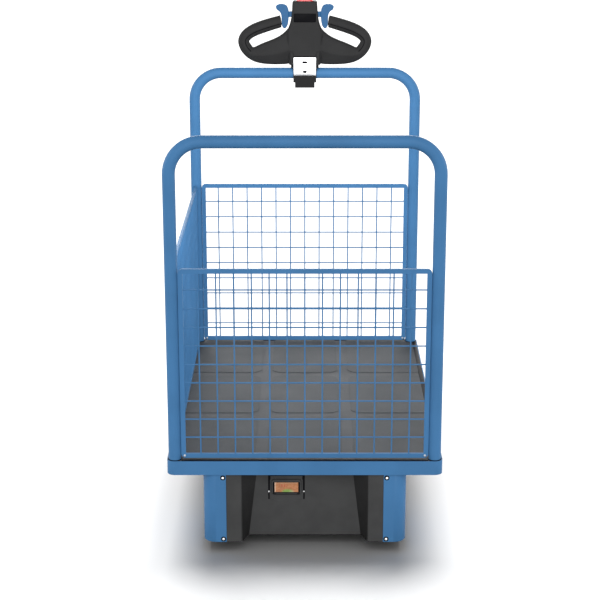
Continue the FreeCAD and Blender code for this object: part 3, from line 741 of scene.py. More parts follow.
def indicator_frame(material, frame_material):
    """Bezel in the cover's own grey round a black sunken frame, which is deeper and has a lip below the display."""
    low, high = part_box("indicator_bezel")
    view_low, view_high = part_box("indicator_display")
    place = (low + high) / 2
    lower = place - Vector((0, 0, 2 * MM))
    half_x = (high.x - low.x) / 2
    half_z = (high.z - low.z) / 2
    open_x = (view_high.x - view_low.x) / 2 + 0.3 * MM
    open_z = (view_high.z - view_low.z) / 2 + 0.3 * MM
    back = high.y
    front = low.y
    bezel = Solid()
    levels = [
        (place, half_x, half_z, 7 * MM, back),
        (place, half_x, half_z, 7 * MM, front + 2 * MM),
        (place, half_x - 1.5 * MM, half_z - 1.5 * MM, 6 * MM, front),
        (lower, open_x + 4.2 * MM, open_z + 4.4 * MM, 4 * MM, front),
        (lower, open_x + 4.2 * MM, open_z + 4.4 * MM, 4 * MM, back),
    ]
    bezel.skin([frame_ring(*level) for level in levels], looped=True)
    made = make_piece("indicator_frame", bezel, frame_material, "chassis")
    soften(made, 30)
    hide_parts("indicator_bezel")
    sunk = Solid()
    levels = [
        (lower, open_x + 4.3 * MM, open_z + 4.5 * MM, 4 * MM, back),
        (lower, open_x + 4.3 * MM, open_z + 4.5 * MM, 4 * MM, front + 0.6 * MM),
        (lower, open_x + 3.4 * MM, open_z + 3.6 * MM, 3.4 * MM, front + 0.6 * MM),
        (place, open_x + 0.2 * MM, open_z + 0.2 * MM, 1 * MM, front + 2.6 * MM),
        (place, open_x + 0.2 * MM, open_z + 0.2 * MM, 1 * MM, back),
    ]
    sunk.skin([frame_ring(*level) for level in levels], looped=True)
    trim("indicator_rim", sunk, material, 30)
    lip = Solid()
    for edge, reach, rise in ((3.0, 27.5, 0.9), (4.4, 26.0, 0.6)):
        z = view_low.z - edge * MM
        lip.block((place.x - reach * MM, front - 0.2 * MM, z - rise * MM), (place.x + reach * MM, front + 2 * MM, z))
    trim("indicator_lip", lip, frame_material)


def frame_ring(place, half_x, half_z, radius, y):
    """One rounded rectangle round the indicator, at a depth."""
    ring = rounded_ring(half_x, -half_z, half_z, radius)
    return [Vector((place.x + x, y, place.z + z)) for x, z in ring]


def motor_shell(material, steel):
    """Finned motor body with an end bell and its screws."""
    low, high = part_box("drive_motor")
    centre = Vector(((low.x + high.x) / 2, low.y, (low.z + high.z) / 2))
    radius = (high.x - low.x) / 2
    reach = high.y - low.y
    fins = 9
    profile = [(0, 0.3 * radius), (0, radius), (8 * MM, radius)]
    pitch = (reach - 32 * MM) / fins
    for i in range(fins):
        start = 10 * MM + i * pitch
        profile += [(start, 0.9 * radius), (start + 0.5 * pitch, 0.9 * radius)]
        profile += [(start + 0.5 * pitch, radius), (start + 0.98 * pitch, radius)]
    bell = reach - 18 * MM
    profile += [(bell, 0.93 * radius), (reach - 5 * MM, 0.9 * radius), (reach, 0.78 * radius)]
    profile += [(reach, 0.34 * radius), (reach - 3 * MM, 0.3 * radius)]
    solid = Solid()
    solid.lathe(centre, (0, 1, 0), profile)
    solid.stack(centre, (0, 1, 0), [(1 * MM, 0.32 * radius, False), (reach - 2.5 * MM, 0.32 * radius, False)])
    shell = make_piece("motor_shell", solid, material, "chassis")
    soften(shell)
    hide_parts("drive_motor")
    screws = Solid()
    screws.bolt_circle(centre + Vector((0, reach, 0)), (0, 1, 0), 0.58 * radius, 4, bolt_layers(3.4 * MM, 3 * MM))
    trim("motor_screws", screws, steel)


def drive_bolts(material):
    """Bolts of the brackets, the axle flanges and the gearbox."""
    solid = Solid()
    axle = middle("axle_housing")
    flange_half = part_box("drive_brackets")[1].x
    plate_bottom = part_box("chassis_beams")[0].z - 6 * MM
    gearbox_half = 48 * MM
    for side in (-1, 1):
        for dy in (-22 * MM, 22 * MM):
            solid.stack(Vector((side * 100 * MM, axle.y + dy, plate_bottom)), (0, 0, -1), bolt_layers(7 * MM, 6 * MM))
        flange = Vector((side * flange_half, axle.y, axle.z))
        solid.bolt_circle(flange, (side, 0, 0), 27 * MM, 4, bolt_layers(4.6 * MM, 4 * MM))
        gearbox = Vector((side * gearbox_half, axle.y, axle.z))
        solid.bolt_circle(gearbox, (side, 0, 0), 43 * MM, 8, bolt_layers(4 * MM, 4 * MM))
    trim("drive_bolts", solid, material)


def beam_bolts(material):
    """Bolts that hold the battery box to the beams on both sides of it."""
    low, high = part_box("battery_box")
    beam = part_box("chassis_beams")[0].z
    solid = Solid()
    for x in (-130 * MM, -45 * MM, 45 * MM, 130 * MM):
        for y in (low.y - 15 * MM, high.y + 27 * MM):
            solid.stack(Vector((x, y, beam)), (0, 0, -1), bolt_layers(5.5 * MM, 5 * MM))
    trim("beam_bolts", solid, material)


def battery_louvres(material):
    """Pressed louvres on both sides of the battery box, and screws near its lower corners."""
    low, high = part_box("battery_box")
    solid = Solid()
    for side in (-1, 1):
        face = side * high.x
        for i in range(5):
            z = low.z + (30 + 11 * i) * MM
            for y in (low.y + 55 * MM, high.y - 55 * MM):
                lip = [(face - side * 1 * MM, z), (face + side * 3 * MM, z), (face - side * 1 * MM, z + 7 * MM)]
                solid.skin([[Vector((x, y + dy * MM, up)) for x, up in lip] for dy in (-32, 32)])
        for y in (low.y + 12 * MM, high.y - 12 * MM):
            for z in (low.z + 12 * MM, high.z - 12 * MM):
                solid.stack(Vector((face, y, z)), (side, 0, 0), bolt_layers(3.6 * MM, 3 * MM), 18)
    trim("battery_louvres", solid, material)


def treaded_tyre(name, hub, tyre, body, material, sizes, blocks):
    """Tyre with grooves round it and, on a drive wheel, shoulder blocks."""
    low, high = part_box(tyre)
    rim = (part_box(hub)[1].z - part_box(hub)[0].z) / 2
    centre = (low + high) / 2
    radius = (high.z - low.z) / 2
    half = (high.x - low.x) / 2
    depth = sizes.groove_depth if blocks else 0.5 * sizes.groove_depth
    wide = sizes.groove_width if blocks else 0.6 * sizes.groove_width
    section = tyre_section(half, rim, radius, depth, wide)
    count = round(TURN * radius / sizes.block_pitch)
    # Places along one pitch, and whether each is in the gap between two blocks
    places = ((0.0, False), (0.34, False), (0.5, True), (0.84, True)) if blocks else ((0.0, False), (0.5, False))
    solid = Solid()
    rings = []
    for i in range(count):
        for share, cut in places:
            angle = TURN * (i + share) / count
            ring = []
            for x, reach, shoulder in section:
                lean = 0.22 * TURN / count * math.copysign(1, x) if blocks and shoulder else 0
                r = reach - depth if cut and shoulder else reach
                turned = Vector((0, math.sin(angle + lean), math.cos(angle + lean)))
                ring.append(centre + Vector((x, 0, 0)) + turned * r)
            rings.append(ring)
    solid.skin(rings, looped=True)
    made = make_piece(name, solid, material, body)
    soften(made, 28)
    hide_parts(tyre)


def tyre_section(half, rim, radius, depth, wide):
    """Closed outline of a tyre as (across, radius, whether it is part of the shoulder blocks)."""
    turn = 6 * MM
    right = []
    for i in range(5):
        angle = TURN / 4 * i / 4
        x = half - turn + turn * math.cos(angle)
        right.append((x, radius - turn + turn * math.sin(angle), i > 1))
    groove = 0.42 * half
    right += [(groove + wide / 2 + 0.4 * MM, radius, True), (groove + wide / 2, radius - 0.3 * MM, False)]
    right += [(groove + 0.3 * wide, radius - depth, False), (groove - 0.3 * wide, radius - depth, False)]
    right += [(groove - wide / 2, radius, False)]
    side = [(half, rim, False), (half - 1 * MM, rim + 2 * MM, False)]
    side += [(half - 1 * MM, radius - 2.6 * turn, False), (half, radius - 2.1 * turn, False)]
    right = side + right
    left = [(-x, r, shoulder) for x, r, shoulder in reversed(right)]
    return right + left


def hub_ribs(name, hub, body, material, bolt_material, boss, band, ribs, studs):
    """Ribs and wheel bolts on both faces of a hub, from its boss to its rim band."""
    low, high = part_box(hub)
    centre = (low + high) / 2
    rim = (high.z - low.z) / 2 - band
    solid = Solid()
    bolts = Solid()
    for side in (-1, 1):
        x0, x1 = sorted((side * 6 * MM, side * 13 * MM))
        for i in range(ribs):
            turn = Matrix.Translation(centre) @ Matrix.Rotation(TURN * i / ribs, 4, "X")
            solid.block((x0, -2.5 * MM, boss - 1 * MM), (x1, 2.5 * MM, rim + 1 * MM), turn)
        face = centre + Vector((side * 7 * MM, 0, 0))
        bolts.bolt_circle(face, (side, 0, 0), (boss + rim) / 2, studs, bolt_layers(5 * MM, 5 * MM))
    made = make_piece(name, solid, material, body)
    reshape(made, bevel(1 * MM))
    soften(made)
    if studs:
        soften(make_piece(name.replace("ribs", "bolts"), bolts, bolt_material, body))


def castor_bolts(material):
    """Four bolts under each castor plate, and a dust ring round each bearing."""
    solid = Solid()
    low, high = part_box("castor_mounts")
    plate = high.z - 5 * MM
    swivel_x = high.x - 70 * MM
    y = (low.y + high.y) / 2
    ring = [(0, 33.5 * MM), (0, 38 * MM), (-2 * MM, 40 * MM), (-8 * MM, 40 * MM), (-10.5 * MM, 37.5 * MM)]
    ring += [(-10.5 * MM, 33.5 * MM)]
    for side in (-1, 1):
        x = side * swivel_x
        for dx in (-52.5 * MM, 52.5 * MM):
            for dy in (-40 * MM, 40 * MM):
                solid.stack(Vector((x + dx, y + dy, plate)), (0, 0, -1), bolt_layers(8 * MM, 6.5 * MM))
        solid.lathe(Vector((x, y, plate)), (0, 0, 1), ring)
    trim("castor_bolts", solid, material)


GRIP_STATIONS = [  # Outer edge, inner edge, half thickness, and how far a station of the grip is a wing
    (72.4, 171.4, 68.9, 135.5, 14.8, 0),
    (103.0, 163.4, 94.6, 127.6, 14.8, 0),
    (132.0, 154.6, 120.0, 119.2, 14.8, 0),
    (159.3, 143.4, 145.0, 109.6, 14.8, 0),
    (181.0, 128.6, 158.6, 101.4, 14.8, 0),
    (193.6, 112.0, 164.4, 95.6, 14.8, 0),
    (198.0, 95.6, 163.4, 91.2, 14.8, 0),
    (195.4, 79.6, 160.6, 86.6, 14.8, 0.1),
    (187.0, 62.6, 157.4, 82.2, 14.9, 0.25),
    (171.0, 46.0, 152.6, 77.2, 15.2, 0.5),
    (151.0, 34.2, 142.0, 81.4, 16.0, 0.8),
    (127.0, 27.9, 124.0, 89.8, 17.6, 1),
    (100.0, 25.6, 99.0, 99.4, 19.4, 1),
    (76.0, 25.4, 76.0, 110.3, 20.8, 1),
    (56.0, 26.2, 58.0, 124.0, 21.8, 1),
    (44.0, 28.0, 46.0, 136.0, 22.0, 1),
    (20.0, 28.0, 20.0, 146.0, 21.6, 1),
]


def on_grip(side, station, share, face, lift=0.0):
    """A point of a grip's section, at a share of the way out from its middle, in front (face over 0) or behind."""
    out_x, out_z, in_x, in_z, thick, wing = station
    ridge = math.copysign(wing_thickness(share), face)
    forwards = thick * ((1 - wing) * face + wing * ridge) + math.copysign(lift, face)
    x = (out_x + in_x) / 2 + share * (out_x - in_x) / 2
    z = (out_z + in_z) / 2 + share * (out_z - in_z) / 2
    return on_head(side * x, forwards, z)


def hand_loop(solid, side):
    """One grip: out from its free end, round, and back as a wing into the foot of the head."""
    angles = [TURN * i / 36 for i in range(36)]
    path = curve_through(GRIP_STATIONS, 5)
    solid.skin([[on_grip(side, station, math.cos(a), math.sin(a)) for a in angles] for station in path])


def grip_lines(solid, start, half_width, low, high):
    """Thin strips along the front and back of both grips, between two heights over the surface."""
    line = -0.3  # A little nearer to the grip's inner edge than to its outer one
    level = math.sqrt(1 - line * line)
    inner, outer = line - half_width, line + half_width
    corners = [(inner, low), (outer, low), (outer, high), (inner, high)]
    for side in (-1, 1):
        for face in (-level, level):
            path = curve_through(GRIP_STATIONS[:10], 15)[start:]
            solid.skin([[on_grip(side, station, share, face, lift) for share, lift in corners] for station in path])


def grip_seams(material):
    """Dark parting lines sunk in both grips."""
    solid = Solid()
    grip_lines(solid, start=3, half_width=0.06, low=-2.5, high=-0.7)
    trim("grip_seams", solid, material)


def wing_thickness(share):
    """Share of the wing's thickness from its upper edge, -1, over its crease to its lower edge, 1."""
    crease = 0.1
    if share < crease:
        slope = 1 - 0.5 * (crease - share) / (1 + crease)
    else:
        slope = 1 - 0.72 * (share - crease) / (1 - crease)
    return slope * math.sqrt(max(0.0, 1 - abs(share) ** 9))


def head_column(solid):
    """Middle of the head: narrow at the top, flaring into the wings, with a crowned top.

    Each level is its height, half width, front, back and corner radius.
    """
    levels = [
        (28.0, 44, 21, -21, 5),
        (30.0, 47, 22, -22, 6),
        (70.0, 50, 22, -22, 7),
        (110.0, 52, 22, -22, 8),
        (128.0, 50.5, 22, -22, 8),
        (138.0, 47.0, 22, -22, 8),
        (150.0, 43.0, 22, -22, 8),
        (166.0, 39.8, 22, -22, 7.5),
        (183.0, 38.1, 22, -22, 7),
        (200.0, 37.2, 20.6, -22, 7),
        (209.0, 36.4, 19.6, -21.6, 7),
        (212.6, 34.6, 17.8, -20, 7),
        (214.0, 31.5, 15.0, -17, 6.5),
    ]
    rings = []
    for height, half, front, back, radius in curve_through(levels, 3):
        rings.append([on_head(x, y, height) for x, y in rounded_ring(half, back, front, radius)])
    solid.skin(rings)


HEAD_FRONT = 22  # Millimetres from the middle of the head to the face that its window lies in
WINDOW_HALF, WINDOW_LOW, WINDOW_HIGH = 33, 152.5, 178.5  # Half width, lower edge and upper edge of the window


def head_back():
    """Where the flat back of the head's shell lies."""
    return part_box("head_body")[1].y - 1 * MM


def head_shell(material, sizes):
    """Moulded shell of the control head with both hand loops, and recesses for the window and the strap."""
    solid = Solid()
    head_column(solid)
    for side in (-1, 1):
        hand_loop(solid, side)
        for low, high, across in ((26, 60, 37.5), (42, 66, 40)):
            ends = ((low, 26), (high, 25))
            solid.skin([[on_head(side * x, y, z) for x, y in rib_ring(across, front)] for z, front in ends])
    shell = make_piece("head_shell", solid, material, "chassis")
    reshape(shell, *melt(sizes.shell_voxel, factor=0.5, rounds=5))
    cut = Solid()
    corners = rounded_ring(WINDOW_HALF, WINDOW_LOW, WINDOW_HIGH, 2.5)
    floor = HEAD_FRONT - sizes.window_depth / MM
    cut.skin([[on_head(x, y, z) for x, z in corners] for y in (floor, HEAD_FRONT + 18)])
    grip_lines(cut, start=0, half_width=0.05, low=-0.9, high=2.0)
    cut_with(shell, "window_cutter", cut, material)
    back = head_back()
    for point in shell.data.vertices:
        point.co.y = min(point.co.y, back)
    soften(shell, 42)
    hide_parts("head_body", "left_hand_loop", "right_hand_loop")


def rib_ring(centre, front):
    """Ring of a small rib beside the strap, as (across, forwards)."""
    return [(centre + x, y) for x, y in rounded_ring(4.5, 10, front, 2.5)]


def shell_screws(material):
    """Four screws in the back of the head's shell."""
    solid = Solid()
    for side in (-1, 1):
        for across, up in ((27, 190), (32, 70)):
            place = on_head(side * across, 0, up)
            place.y = head_back()
            solid.stack(place, (0, 1, 0), screw_layers(3.2 * MM, 0.9 * MM))
    trim("shell_screws", solid, material)


def grip_ends(material):
    """Dark plugs in the free ends of both grips."""
    solid = Solid()
    end_across, end_up = 70.65, 153.4  # Middle of the grip's first station
    for side in (-1, 1):
        inward = Vector((-side * 0.994, 0, 0.111))
        centre = on_head(side * end_across, 0, end_up)
        layers = [(-4 * MM, 12.6 * MM, False), (0.2 * MM, 12.6 * MM, False), (1.2 * MM, 11.4 * MM, False)]
        solid.stack(centre, inward, layers, steps=40)
    trim("grip_ends", solid, material)


def thumb_levers(material, sizes):
    """Two hooked speed levers, each with its stub into the head."""
    hook = [
        (47.6, 166.0), (47.4, 180.0), (49.4, 192.0), (54.8, 201.2), (64.2, 204.4), (77.0, 204.2), (85.4, 197.8),
        (82.8, 188.4), (75.2, 182.8), (70.2, 174.5), (68.6, 163.0), (68.4, 147.0), (65.2, 136.0), (58.6, 133.0),
        (51.8, 140.4), (48.6, 153.0),
    ]
    half = sizes.lever_thickness / MM / 2
    solid = Solid()
    for side in (-1, 1):
        outline = curve_through(hook, 6, closed=True)
        solid.skin([[on_head(side * x, y, z) for x, z in outline] for y in (-half, half)])
        stub = rounded_ring(9, 166, 183, 3)
        solid.skin([[on_head(side * (44 + x), y, z) for x, z in stub] for y in (-0.7 * half, 0.7 * half)])
    levers = make_piece("lever_hooks", solid, material, "chassis")
    reshape(levers, *melt(0.7 * MM, factor=0.6, rounds=14))
    soften(levers, 60)
    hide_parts("thumb_levers")


def window_pane(material, sizes):
    """Glossy pane at the bottom of the head's window recess."""
    floor = HEAD_FRONT - sizes.window_depth / MM
    solid = Solid()
    rings = []
    for y, inset in ((floor - 0.5, 0.3), (floor + 0.7, 0.3), (floor + 1.1, 0.8)):
        corners = rounded_ring(WINDOW_HALF - inset, WINDOW_LOW + inset, WINDOW_HIGH - inset, 2.3)
        rings.append([on_head(x, y, z) for x, z in corners])
    solid.skin(rings)
    pane = make_piece("window_pane", solid, material, "chassis")
    soften(pane)
    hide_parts("head_window")


def reversing_button(material):
    """Crowned red button on top of the head."""
    low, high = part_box("belly_button")
    centre = (low + high) / 2
    half_x = (high.x - low.x) / 2
    half_y = (high.y - low.y) / 2
    rise = high.z - low.z
    rings = []
    for share, inset in ((-0.6, 0.0), (0.35, 0.0), (0.62, 0.5), (0.84, 1.6), (0.95, 4.0), (1.0, 8.0)):
        ring = rounded_ring(half_x - inset * MM, inset * MM - half_y, half_y - inset * MM, 8 * MM)
        rings.append([centre + Vector((x, y, share * rise - rise / 2)) for x, y in ring])
    solid = Solid()
    solid.skin(rings)
    button = make_piece("reversing_button", solid, material, "chassis")
    soften(button, 50)
    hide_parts("belly_button")


def strap_plate(material, dark, sizes):
    """Bright clamp strap with two slots and a lower edge bent under, on a dark backing that is painted shade: it
    shows in the slots and as a thin dark border round the strap.
    """
    low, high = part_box("clamp_strap")
    half = (high.x - low.x) / 2
    thick = high.y - low.y
    front = low.y
    profile = [(front + 1 * MM, high.z), (front, high.z - 1 * MM), (front, low.z + 8 * MM)]
    profile += [(front + 0.8 * MM, low.z + 4 * MM), (high.y - 1.2 * MM, low.z), (high.y, low.z), (high.y, high.z)]
    solid = Solid()
    solid.skin([[Vector((x, y, z)) for y, z in profile] for x in (-half, half)])
    plate = make_piece("strap_plate", solid, material, "chassis")
    slots = Solid()
    shade_backing = Solid()
    for share, length in ((0.27, sizes.slot_length), (0.78, 0.8 * sizes.slot_length)):
        z = high.z - share * (high.z - low.z)
        slot_half = sizes.slot_width / 2
        ring = rounded_ring(length / 2, -slot_half, slot_half, slot_half, steps=8)
        slots.skin([[Vector((x, y, z + up)) for x, up in ring] for y in (front - thick, high.y + thick)])
        reach = 0.55 * sizes.slot_width
        fill = rounded_ring(length / 2 + 0.4 * MM, -reach, reach, 3 * MM, steps=8)
        shade_backing.skin([[Vector((x, y, z + up)) for x, up in fill] for y in (front + 0.4 * MM, high.y)])
    reshape(plate, bevel(0.5 * MM))
    cut_with(plate, "slot_cutter", slots, material)
    soften(plate)
    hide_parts("clamp_strap")
    # The dark backing, wider than the strap, paints the shadow gap round it
    edge = 2.2 * MM
    shade_backing.block((-half - edge, high.y - 2.4 * MM, low.z + 14 * MM), (half + edge, high.y + 0.5 * MM, high.z + edge))
    trim("strap_shade_backing", shade_backing, dark)


def clamp_screws(material):
    """Two screws in the foot of the clamp."""
    low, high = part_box("bar_clamp")
    solid = Solid()
    for side in (-1, 1):
        place = Vector((side * 18 * MM, (low.y + high.y) / 2, low.z))
        solid.stack(place, (0, 0, -1), screw_layers(4 * MM, 3 * MM))
    trim("clamp_screws", solid, material)


# Finishes of this cart


def band_height():
    """Height of the bands, which lie lower than the tops of the deck's pads."""
    pad_relief = 1.5 * MM
    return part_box("deck_board")[1].z - pad_relief


def finish(name):
    """Makes one of the cart's finishes, in the colours that the sidebar holds."""
    colours = bpy.context.scene.cart_colours
    makers = {
        "Blue Powder Coat": lambda: powder_coat(name, colours.frame_blue),
        "Black Paint": lambda: powder_coat(name, colours.black_paint),
        "Deck Rubber": lambda: deck_rubber(name, colours.deck_pad, colours.deck_band, band_height()),
        "Cover Plastic": lambda: moulded_plastic(name, colours.cover_grey, 0.7, shine=0.02),
        # The cover's plastic in a darker grey, as painted shade on the recess walls
        "Recess Shade Plastic": lambda: moulded_plastic(name, colours.recess_shade_grey, 0.7, shine=0.0),
        "Head Plastic": lambda: moulded_plastic(name, colours.head_grey, grain=0.7 * MM, depth=0.03 * MM),
        "Clamp Plastic": lambda: moulded_plastic(name, colours.clamp_grey, grain=0.7 * MM, depth=0.03 * MM),
        "Battery Case Plastic": lambda: moulded_plastic(name, colours.cover_grey, 0.55),
        "Lever Plastic": lambda: smooth_plastic(name, colours.lever_blue, 0.3, shine=0.15),
        "Button Plastic": lambda: smooth_plastic(name, colours.button_red, 0.22, coat=0.3),
        "Gloss Black": lambda: smooth_plastic(name, colours.gloss_black_and_painted_shade, 0.25, shine=0.06),
        "Dark Pane": lambda: smooth_plastic(name, colours.gloss_black_and_painted_shade, 0.4, shine=0.03),
        # Besides real seals, this black rubber paints shade in strips round the deck, the indicator's pocket and the
        # strap
        "Seal Rubber And Painted Shade": lambda: smooth_plastic(name, colours.gloss_black_and_painted_shade, 0.55, shine=0.04),
        "Brushed Steel": lambda: brushed_metal(name, colours.strap_steel, (1, 40, 40)),
        "Zinc Plate": lambda: zinc_plate(name, colours.zinc),
        "Cast Hub Metal": lambda: cast_metal(name, colours.hub_alloy),
        "Tyre Rubber": lambda: tyre_rubber(name, colours.tyre_black),
        "Lit Gauge": lambda: gauge_face(
            name, colours.gauge_ground, colours.gauge_low, colours.gauge_high, colours.gauge_edge
        ),
    }
    return makers[name]()


# Operators


class CART_OT_frame(bpy.types.Operator):
    """Powder coats the deck frame, the hoops and the mesh panels"""

    bl_idname = "cart.frame"
    bl_label = "Frame and Panels"

    def execute(self, context):
        blue = finish("Blue Powder Coat")
        for node in ("near_hoop", "handle_hoop", "near_mesh_panel", "handle_mesh_panel", "side_mesh_panel"):
            finish_node(node, blue)
        finish_node("deck_frame", blue, 1 * MM)
        panel_screws(finish("Zinc Plate"))
        return {"FINISHED"}


class CART_OT_deck(bpy.types.Operator):
    """Lays the padded rubber surface of the deck, with a black strip of painted shade round it and seals round the
    legs
    """

    bl_idname = "cart.deck"
    bl_label = "Deck Surface"

    def execute(self, context):
        finish_node("deck_board", finish("Deck Rubber"), 0.5 * MM)
        deck_shade_and_leg_seals(finish("Seal Rubber And Painted Shade"))
        return {"FINISHED"}


class CART_OT_cover(bpy.types.Operator):
    """Finishes the drive cover, its guard plates and screws, and the dark cheeks and black strips that paint shade in
    its recess and round its pocket
    """

    bl_idname = "cart.cover"
    bl_label = "Drive Cover"

    def execute(self, context):
        blue = finish("Blue Powder Coat")
        steel = finish("Brushed Steel")
        finish_node("drive_cover", finish("Cover Plastic"), 1.2 * MM)
        for node in ("left_guard_plate", "right_guard_plate"):
            finish_node(node, blue, 0.6 * MM)
        shade_seal = finish("Seal Rubber And Painted Shade")
        guard_screws(steel, shade_seal)
        recess_shade_cheeks(finish("Recess Shade Plastic"))
        pocket_trim(shade_seal, steel)
        return {"FINISHED"}


class CART_OT_indicator(bpy.types.Operator):
    """Makes the battery indicator's bezel and rim, and paints the glow of its lit face"""

    bl_idname = "cart.indicator"
    bl_label = "Battery Indicator"

    def execute(self, context):
        indicator_frame(finish("Gloss Black"), finish("Cover Plastic"))
        finish_node("indicator_display", finish("Lit Gauge"))
        return {"FINISHED"}


class CART_OT_drive_unit(bpy.types.Operator):
    """Finishes the driven axle with its motor, brackets and bolts"""

    bl_idname = "cart.drive_unit"
    bl_label = "Drive Unit"

    def execute(self, context):
        black = finish("Black Paint")
        finish_node("axle_housing", black, 1 * MM)
        finish_node("drive_brackets", black, 0.8 * MM)
        finish_node("stub_axles", finish("Zinc Plate"), 0.5 * MM)
        motor_shell(black, finish("Brushed Steel"))
        drive_bolts(finish("Zinc Plate"))
        return {"FINISHED"}


class CART_OT_drive_wheels(bpy.types.Operator):
    """Makes the treaded drive tyres and the ribs and bolts of their wheels"""

    bl_idname = "cart.drive_wheels"
    bl_label = "Drive Wheels"

    def execute(self, context):
        metal = finish("Cast Hub Metal")
        rubber = finish("Tyre Rubber")
        steel = finish("Brushed Steel")
        sizes = context.scene.cart_treads
        for side in ("left", "right"):
            hub = f"{side}_drive_hub"
            body = f"{side}_drive_wheel"
            finish_node(hub, metal, 0.8 * MM)
            hub_ribs(f"{side}_drive_ribs", hub, body, metal, steel, boss=24 * MM, band=8 * MM, ribs=5, studs=5)
            treaded_tyre(f"{side}_drive_tread", hub, f"{side}_drive_tyre", body, rubber, sizes, blocks=True)
        return {"FINISHED"}


class CART_OT_castors(bpy.types.Operator):
    """Finishes the swivel castors with their plates, bolts, forks, axles and wheels"""

    bl_idname = "cart.castors"
    bl_label = "Castors"

    def execute(self, context):
        zinc = finish("Zinc Plate")
        metal = finish("Cast Hub Metal")
        rubber = finish("Tyre Rubber")
        steel = finish("Brushed Steel")
        sizes = context.scene.cart_treads
        finish_node("castor_mounts", zinc, 0.6 * MM)
        castor_bolts(zinc)
        for side in ("left", "right"):
            hub = f"{side}_castor_hub"
            body = f"{side}_castor_wheel"
            finish_node(f"{side}_castor_fork", zinc, 0.8 * MM)
            finish_node(f"{side}_castor_axle", zinc, 0.5 * MM)
            finish_node(hub, metal, 0.8 * MM)
            hub_ribs(f"{side}_castor_ribs", hub, body, metal, steel, boss=15 * MM, band=6 * MM, ribs=6, studs=0)
            treaded_tyre(f"{side}_castor_tread", hub, f"{side}_castor_tyre", body, rubber, sizes, blocks=False)
        return {"FINISHED"}


class CART_OT_underside(bpy.types.Operator):
    """Finishes the beams, the battery and its box under the deck"""

    bl_idname = "cart.underside"
    bl_label = "Underside"

    def execute(self, context):
        black = finish("Black Paint")
        finish_node("chassis_beams", black, 0.8 * MM)
        finish_node("battery_box", black, 0.8 * MM)
        finish_node("battery_block", finish("Battery Case Plastic"), 2 * MM)
        battery_louvres(black)
        beam_bolts(finish("Zinc Plate"))
        return {"FINISHED"}


class CART_OT_control_head(bpy.types.Operator):
    """Moulds the control head with its two hand loops"""

    bl_idname = "cart.control_head"
    bl_label = "Control Head"

    def execute(self, context):
        head_shell(finish("Head Plastic"), context.scene.cart_head)
        shell_screws(finish("Zinc Plate"))
        return {"FINISHED"}


class CART_OT_levers(bpy.types.Operator):
    """Makes the two hooked thumb levers"""

    bl_idname = "cart.levers"
    bl_label = "Thumb Levers"

    def execute(self, context):
        thumb_levers(finish("Lever Plastic"), context.scene.cart_head)
        return {"FINISHED"}


class CART_OT_head_trim(bpy.types.Operator):
    """Makes the head's window, its reversing button, and the plugs and parting lines of the grips"""

    bl_idname = "cart.head_trim"
    bl_label = "Head Trim"

    def execute(self, context):
        black = finish("Gloss Black")
        window_pane(finish("Dark Pane"), context.scene.cart_head)
        reversing_button(finish("Button Plastic"))
        grip_ends(black)
        grip_seams(finish("Seal Rubber And Painted Shade"))
        return {"FINISHED"}


class CART_OT_clamp(bpy.types.Operator):
    """Makes the clamp that holds the head on the handle bar, with its strap and screws"""

    bl_idname = "cart.clamp"
    bl_label = "Bar Clamp"

    def execute(self, context):
        steel = finish("Brushed Steel")
        finish_node("bar_clamp", finish("Clamp Plastic"), 1 * MM)
        strap_plate(steel, finish("Seal Rubber And Painted Shade"), context.scene.cart_head)
        clamp_screws(steel)
        return {"FINISHED"}


class CART_OT_studio(bpy.types.Operator):
    """Sets up the white floor, the soft light and the camera"""

    bl_idname = "cart.studio"
    bl_label = "Studio"

    def execute(self, context):
        settings = context.scene.cart_studio
        studio_floor()
        studio_room(settings)
        studio_lights(settings)
        studio_camera(settings)
        return {"FINISHED"}


# Studio


def studio_object(name, data):
    """A fresh lamp, camera or floor in the scene."""
    old = bpy.data.objects.get(name)
    if old:
        bpy.data.objects.remove(old)
    made = bpy.data.objects.new(name, data)
    bpy.context.scene.collection.objects.link(made)
    return made


def seen_ray(nodes):
    """1 for what the camera sees, directly, in a gloss or through glass."""
    path = nodes.add("ShaderNodeLightPath")
    outputs = path.socket.node.outputs
    camera, gloss, glass = (Value(nodes, outputs[f"Is {kind} Ray"]) for kind in ("Camera", "Glossy", "Transmission"))
    total = camera + gloss + glass
    return nodes.add("ShaderNodeMath", {"operation": "MINIMUM"}, {0: total, 1: 1.0})


def studio_floor():
    """A wide white floor at height zero, which throws only some of its light back at the cart."""
    half = 60.0
    mesh = bpy.data.meshes.new("studio_floor")
    corners = [(-half, -half, 0), (half, -half, 0), (half, half, 0), (-half, half, 0)]
    mesh.from_pydata(corners, [], [(0, 1, 2, 3)])
    floor = studio_object("studio_floor", mesh)
    made, nodes = new_material("Studio Floor")
    place = nodes.place()
    speck = nodes.noise(place, 0.5 * MM)
    tone = nodes.noise(place, 0.8)
    white = nodes.mix(tone, (0.94, 0.94, 0.94), (0.96, 0.96, 0.96))
    base = nodes.mix(seen_ray(nodes), (0.26, 0.26, 0.26), white)
    nodes.surface(base, 0.9 + speck * 0.05, speck, 0.01 * MM, specular_ior_level=0.0)
    mesh.materials.append(made)


def studio_room(settings):
    """White all round for the camera and for reflections, and an even light on everything else."""
    world = bpy.data.worlds.get("Studio Room") or bpy.data.worlds.new("Studio Room")
    world.use_nodes = True
    nodes = Nodes(world.node_tree)
    strength = settings.room_light + seen_ray(nodes) * (1 - settings.room_light)
    light = nodes.add("ShaderNodeBackground", sockets={"Color": (1, 1, 1, 1), "Strength": strength})
    nodes.add("ShaderNodeOutputWorld", sockets={"Surface": light})
    bpy.context.scene.world = world


def floor_group(name, state):
    """The floor as a group of its own, for a lamp that lights nothing else, or all but that."""
    group = bpy.data.collections.get(name) or bpy.data.collections.new(name)
    floor = bpy.data.objects["studio_floor"]
    if floor.name not in group.objects:
        group.objects.link(floor)
    group.collection_objects[0].light_linking.link_state = state
    return group


